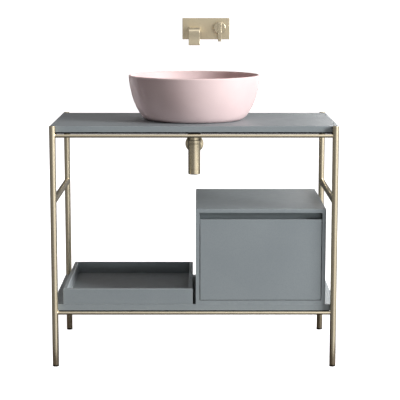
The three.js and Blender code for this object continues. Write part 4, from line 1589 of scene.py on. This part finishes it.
    def lever(self) -> bpy.types.Object:
        """The lever: a hollow turned hub, with a flat bar let into its face.

        Returns:
            The piece.
        """
        box = Box.of("tap_lever")
        carrier = Box.of("tap_lever_carrier")
        x, z = carrier.centre[0], carrier.centre[2]
        hub_back = box.high[1]
        radius = max(box.high[2] - z, box.size[0] / 2)
        e, bore, depth = self.hub_edge, radius - self.hub_wall, self.hub_depth
        t = np.linspace(0, np.pi / 2, 8)
        nose = np.stack([radius - e + e * np.cos(t), depth - e + e * np.sin(t)], 1)
        bed = depth - self.hub_face
        cavity = [[0, bed], [bore - 0.5 * MM, bed], [bore, bed - 0.5 * MM], [bore, 0.4 * MM]]
        mouth = [[bore + 0.4 * MM, 0], [radius - 0.4 * MM, 0], [radius, 0.4 * MM]]
        section = np.concatenate([cavity, mouth, nose, [[radius * 0.5, depth], [0, depth]]])
        hub = turned_from_wall(section, 96, (x, hub_back, z))
        bar_back, half = hub_back - depth + self.bar_sunk, self.bar_width / 2
        blade = rectangle((x - half, box.low[2]), (x + half, z + self.bar_above))
        bar = slab(blade, box.low[1], bar_back, 0.8 * MM, Axis.Y, 1.0 * MM)
        return make_piece("lever_handle", [plain(hub, Ends.POLES), bar], self.palette.fitting_upright,
                          "lever", ["tap_lever"])

    def build(self) -> list[bpy.types.Object]:
        """Makes the tap's pieces.

        Returns:
            Its pieces.
        """
        cartridge, carrier = Box.of("tap_cartridge"), Box.of("tap_lever_carrier")
        wide, deep = cartridge.size[0] / 2, cartridge.size[1]
        flange, length = carrier.size[0] / 2, carrier.size[1]
        disc = [(wide, 0), (wide, deep - 1 * MM), (wide - 1 * MM, deep)]
        shank = flange - 2 * MM
        post = [(flange, 0), (flange, 2.4 * MM), (shank, 2.4 * MM), (shank, length - 1 * MM),
                (shank - 1 * MM, length)]
        return [self.plate(), self.spout(), self.aerator(),
                self.stem("tap_cartridge", "cartridge_disc", "washstand", disc),
                self.stem("tap_lever_carrier", "carrier_post", "lever_carrier", post), self.lever()]


# ------------------------------------------------------------------------------- studio


@dataclass(frozen=True)
class Lamp:
    """A soft rectangular lamp: where it stands, the point it faces, its size and its watts."""

    name: str
    place: tuple[float, float, float]
    aim: tuple[float, float, float]
    size: tuple[float, float]
    power: float
    glossy: bool = True  # whether reflections see it
    diffuse: bool = True  # whether it lights matt surfaces

    def build(self) -> bpy.types.Object:
        """Makes the lamp.

        Returns:
            The lamp.
        """
        data = bpy.data.lights.new(self.name, "AREA")
        data.shape, data.size, data.size_y = "RECTANGLE", *self.size
        data.energy = self.power
        lamp = bpy.data.objects.new(self.name, data)
        lamp.location = self.place
        lamp.rotation_euler = (Vector(self.aim) - Vector(self.place)).to_track_quat("-Z", "Y").to_euler()
        lamp.visible_camera, lamp.visible_glossy, lamp.visible_diffuse = False, self.glossy, self.diffuse
        bpy.context.scene.collection.objects.link(lamp)
        return lamp


@dataclass
class Studio:
    """A pale floor, soft light from the right, and the camera."""

    lens: float = 125.1
    sensor: float = 36.0
    place: tuple[float, float, float] = (0.0114, -4.5337, 1.2012)
    pitch: float = 8.821
    shift: float = 0.0057
    floor_reach: float = 120.0
    floor_tone: Colour = (0.90, 0.90, 0.90, 1)
    floor_glow: float = 1.04
    ground_size: tuple[float, float] = (0.7, 0.4)
    ground_tone: Colour = (0.34, 0.31, 0.27, 1)
    across: Stops = ((-1, 0.34), (-0.3, 0.36), (-0.1, 0.46), (0.05, 0.62), (0.25, 1.45), (0.6, 1.75),
                     (1, 1.0))
    deep: Stops = ((-1, 1.0), (0.0, 1.0), (0.4, 0.35), (1, 0.24))
    upward: Stops = ((-1, 0.14), (-0.42, 0.3), (-0.3, 0.68), (-0.05, 0.76), (0.05, 1.0), (0.75, 1.7),
                     (1, 1.9))
    soft: Stops = ((-1, 0.03), (0, 0.045), (0.6, 0.07), (0.88, 0.55), (1, 0.8))
    warmth: Colour = (1.0, 0.86, 0.84, 1)
    key: Lamp = Lamp("key", (5.1, -2.6, 2.5), (0, 0, 0.5), (2.4, 2.2), 530)
    low_front: Lamp = Lamp("low_front", (1.2, -6.0, 0.35), (0, 0, 0.45), (4.0, 0.5), 85, glossy=False)
    rim: Lamp = Lamp("rim", (2.4, 5.0, 1.4), (0.3, 0, 0.7), (3.0, 1.6), 165, diffuse=False)
    rear_fill: Lamp = Lamp("rear_fill", (-3.4, 4.2, 0.6), (0, 0, 0.6), (2.4, 0.8), 130, glossy=False)

    def camera(self) -> None:
        """Sets up the camera in front of the washstand, a little above the basin."""
        data = bpy.data.cameras.new("camera")
        data.lens, data.sensor_width, data.shift_x = self.lens, self.sensor, self.shift
        data.clip_start, data.clip_end = 0.1, 200
        camera = bpy.data.objects.new("camera", data)
        camera.location = self.place
        camera.rotation_euler = Euler((math.radians(90 - self.pitch), 0, 0))
        bpy.context.scene.collection.objects.link(camera)
        bpy.context.scene.camera = camera

    def sheet(self, name: str, half: tuple[float, float], height: float, colour: Colour,
              glow: float) -> bpy.types.Object:
        """A level stage sheet with its own matt, slightly glowing paint.

        Args:
            name: its name.
            half: half of its width and of its depth.
            height: its height.
            colour: its paint.
            glow: how much light it gives by itself.

        Returns:
            The sheet.
        """
        x, y = half
        mesh = bpy.data.meshes.new(name)
        corners = [(-x, -y, height), (x, -y, height), (x, y, height), (-x, y, height)]
        mesh.from_pydata(corners, [], [(0, 1, 2, 3)])
        recipe = Recipe(f"{name}_paint")
        recipe.put(Specular_IOR_Level=0.0, Emission_Color=colour, Emission_Strength=glow)
        mesh.materials.append(recipe.finish(colour, 0.9))
        sheet = bpy.data.objects.new(name, mesh)
        bpy.context.scene.collection.objects.link(sheet)
        return sheet

    def floor(self) -> None:
        """The pale floor, and the darker ground that only reflections see."""
        floor = self.sheet("floor", (self.floor_reach, self.floor_reach), 0, self.floor_tone, self.floor_glow)
        floor.visible_glossy = False
        floor.visible_diffuse = False
        ground = self.sheet("ground", self.ground_size, -2 * MM, self.ground_tone, 0.0)
        ground.visible_camera = False
        ground.visible_shadow = False

    def ramp(self, wiring: Wiring, value: bpy.types.NodeSocket, stops: Stops) -> bpy.types.NodeSocket:
        """Grey levels along a direction of the sky.

        Args:
            wiring: the world's nodes.
            value: the direction's share, from -1 to 1.
            stops: (share, level) in order.

        Returns:
            The grey colour.
        """
        node, scale = wiring.add("ValToRGB"), wiring.add("MapRange")
        scale.inputs["From Min"].default_value = -1.0
        wiring.feed(scale.inputs["Value"], value)
        wiring.feed(node.inputs["Fac"], scale.outputs["Result"])
        elements = node.color_ramp.elements
        while len(elements) < len(stops):
            elements.new(0.5)
        for element, (share, level) in zip(elements, stops):
            element.position, element.color = (share + 1) / 2, (level, level, level, 1)
        return node.outputs["Color"]

    def sky(self) -> None:
        """Makes the sky, which is white to the camera.

        Reflections see the product of a ramp to the right, one to the rear and one upwards.
        Matt surfaces are lit from above, by a ramp with a warm tint.
        """
        world = bpy.data.worlds.new("studio")
        world.use_nodes = True
        world.node_tree.nodes.clear()
        w = Wiring(world.node_tree)
        split = w.add("SeparateXYZ")
        w.feed(split.inputs[0], w.add("TexCoord").outputs["Generated"])
        x, y, z = split.outputs
        reflected = w.blend(1.0, self.ramp(w, x, self.across), self.ramp(w, y, self.deep), "MULTIPLY")
        reflected = w.blend(1.0, reflected, self.ramp(w, z, self.upward), "MULTIPLY")
        warm = w.blend(1.0, self.ramp(w, z, self.soft), self.warmth, "MULTIPLY")
        backs = []
        for shade in (warm, reflected, WHITE):
            back = w.add("Background")
            w.feed(back.inputs["Color"], shade)
            backs.append(back.outputs[0])
        path, shown = w.add("LightPath"), backs[0]
        for ray, back in zip(("Is Glossy Ray", "Is Camera Ray"), backs[1:]):
            mix = w.add("MixShader")
            for socket, value in zip(mix.inputs, (path.outputs[ray], shown, back)):
                w.feed(socket, value)
            shown = mix.outputs[0]
        w.feed(w.add("OutputWorld").inputs["Surface"], shown)
        bpy.context.scene.world = world

    def build(self, pieces: Sequence[bpy.types.Object], shining: Sequence[bpy.types.Material]) -> None:
        """Sets up the camera, the floor, the sky and the lamps. The rim lamp leaves out the metals.

        Args:
            pieces: the washstand's pieces.
            shining: the finishes that the rim lamp reaches.
        """
        self.camera()
        self.floor()
        self.sky()
        for lamp in (self.key, self.low_front, self.rear_fill):
            lamp.build()
        lit = bpy.data.collections.new("rim_lit")
        for piece in pieces:
            if piece.data.materials[0] in shining:
                lit.objects.link(piece)
        self.rim.build().light_linking.receiver_collection = lit
        bpy.context.scene.view_settings.view_transform = "Standard"


# ------------------------------------------------------------------------------- the washstand


def main() -> None:
    logging.basicConfig(level=logging.INFO, format="%(name)s: %(message)s")
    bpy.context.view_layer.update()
    palette = Palette()
    pieces: list[bpy.types.Object] = []
    for maker in (MetalFrame, Boards, Tray, DrawerUnit, Basin, Waste, Trap, WallTap):
        made = maker(palette).build()
        pieces += made
        log.info("%s: %d pieces", maker.__name__, len(made))
    Studio().build(pieces, (palette.lacquer, palette.glaze))
    bpy.context.view_layer.update()


if __name__ == "__main__":
    main()
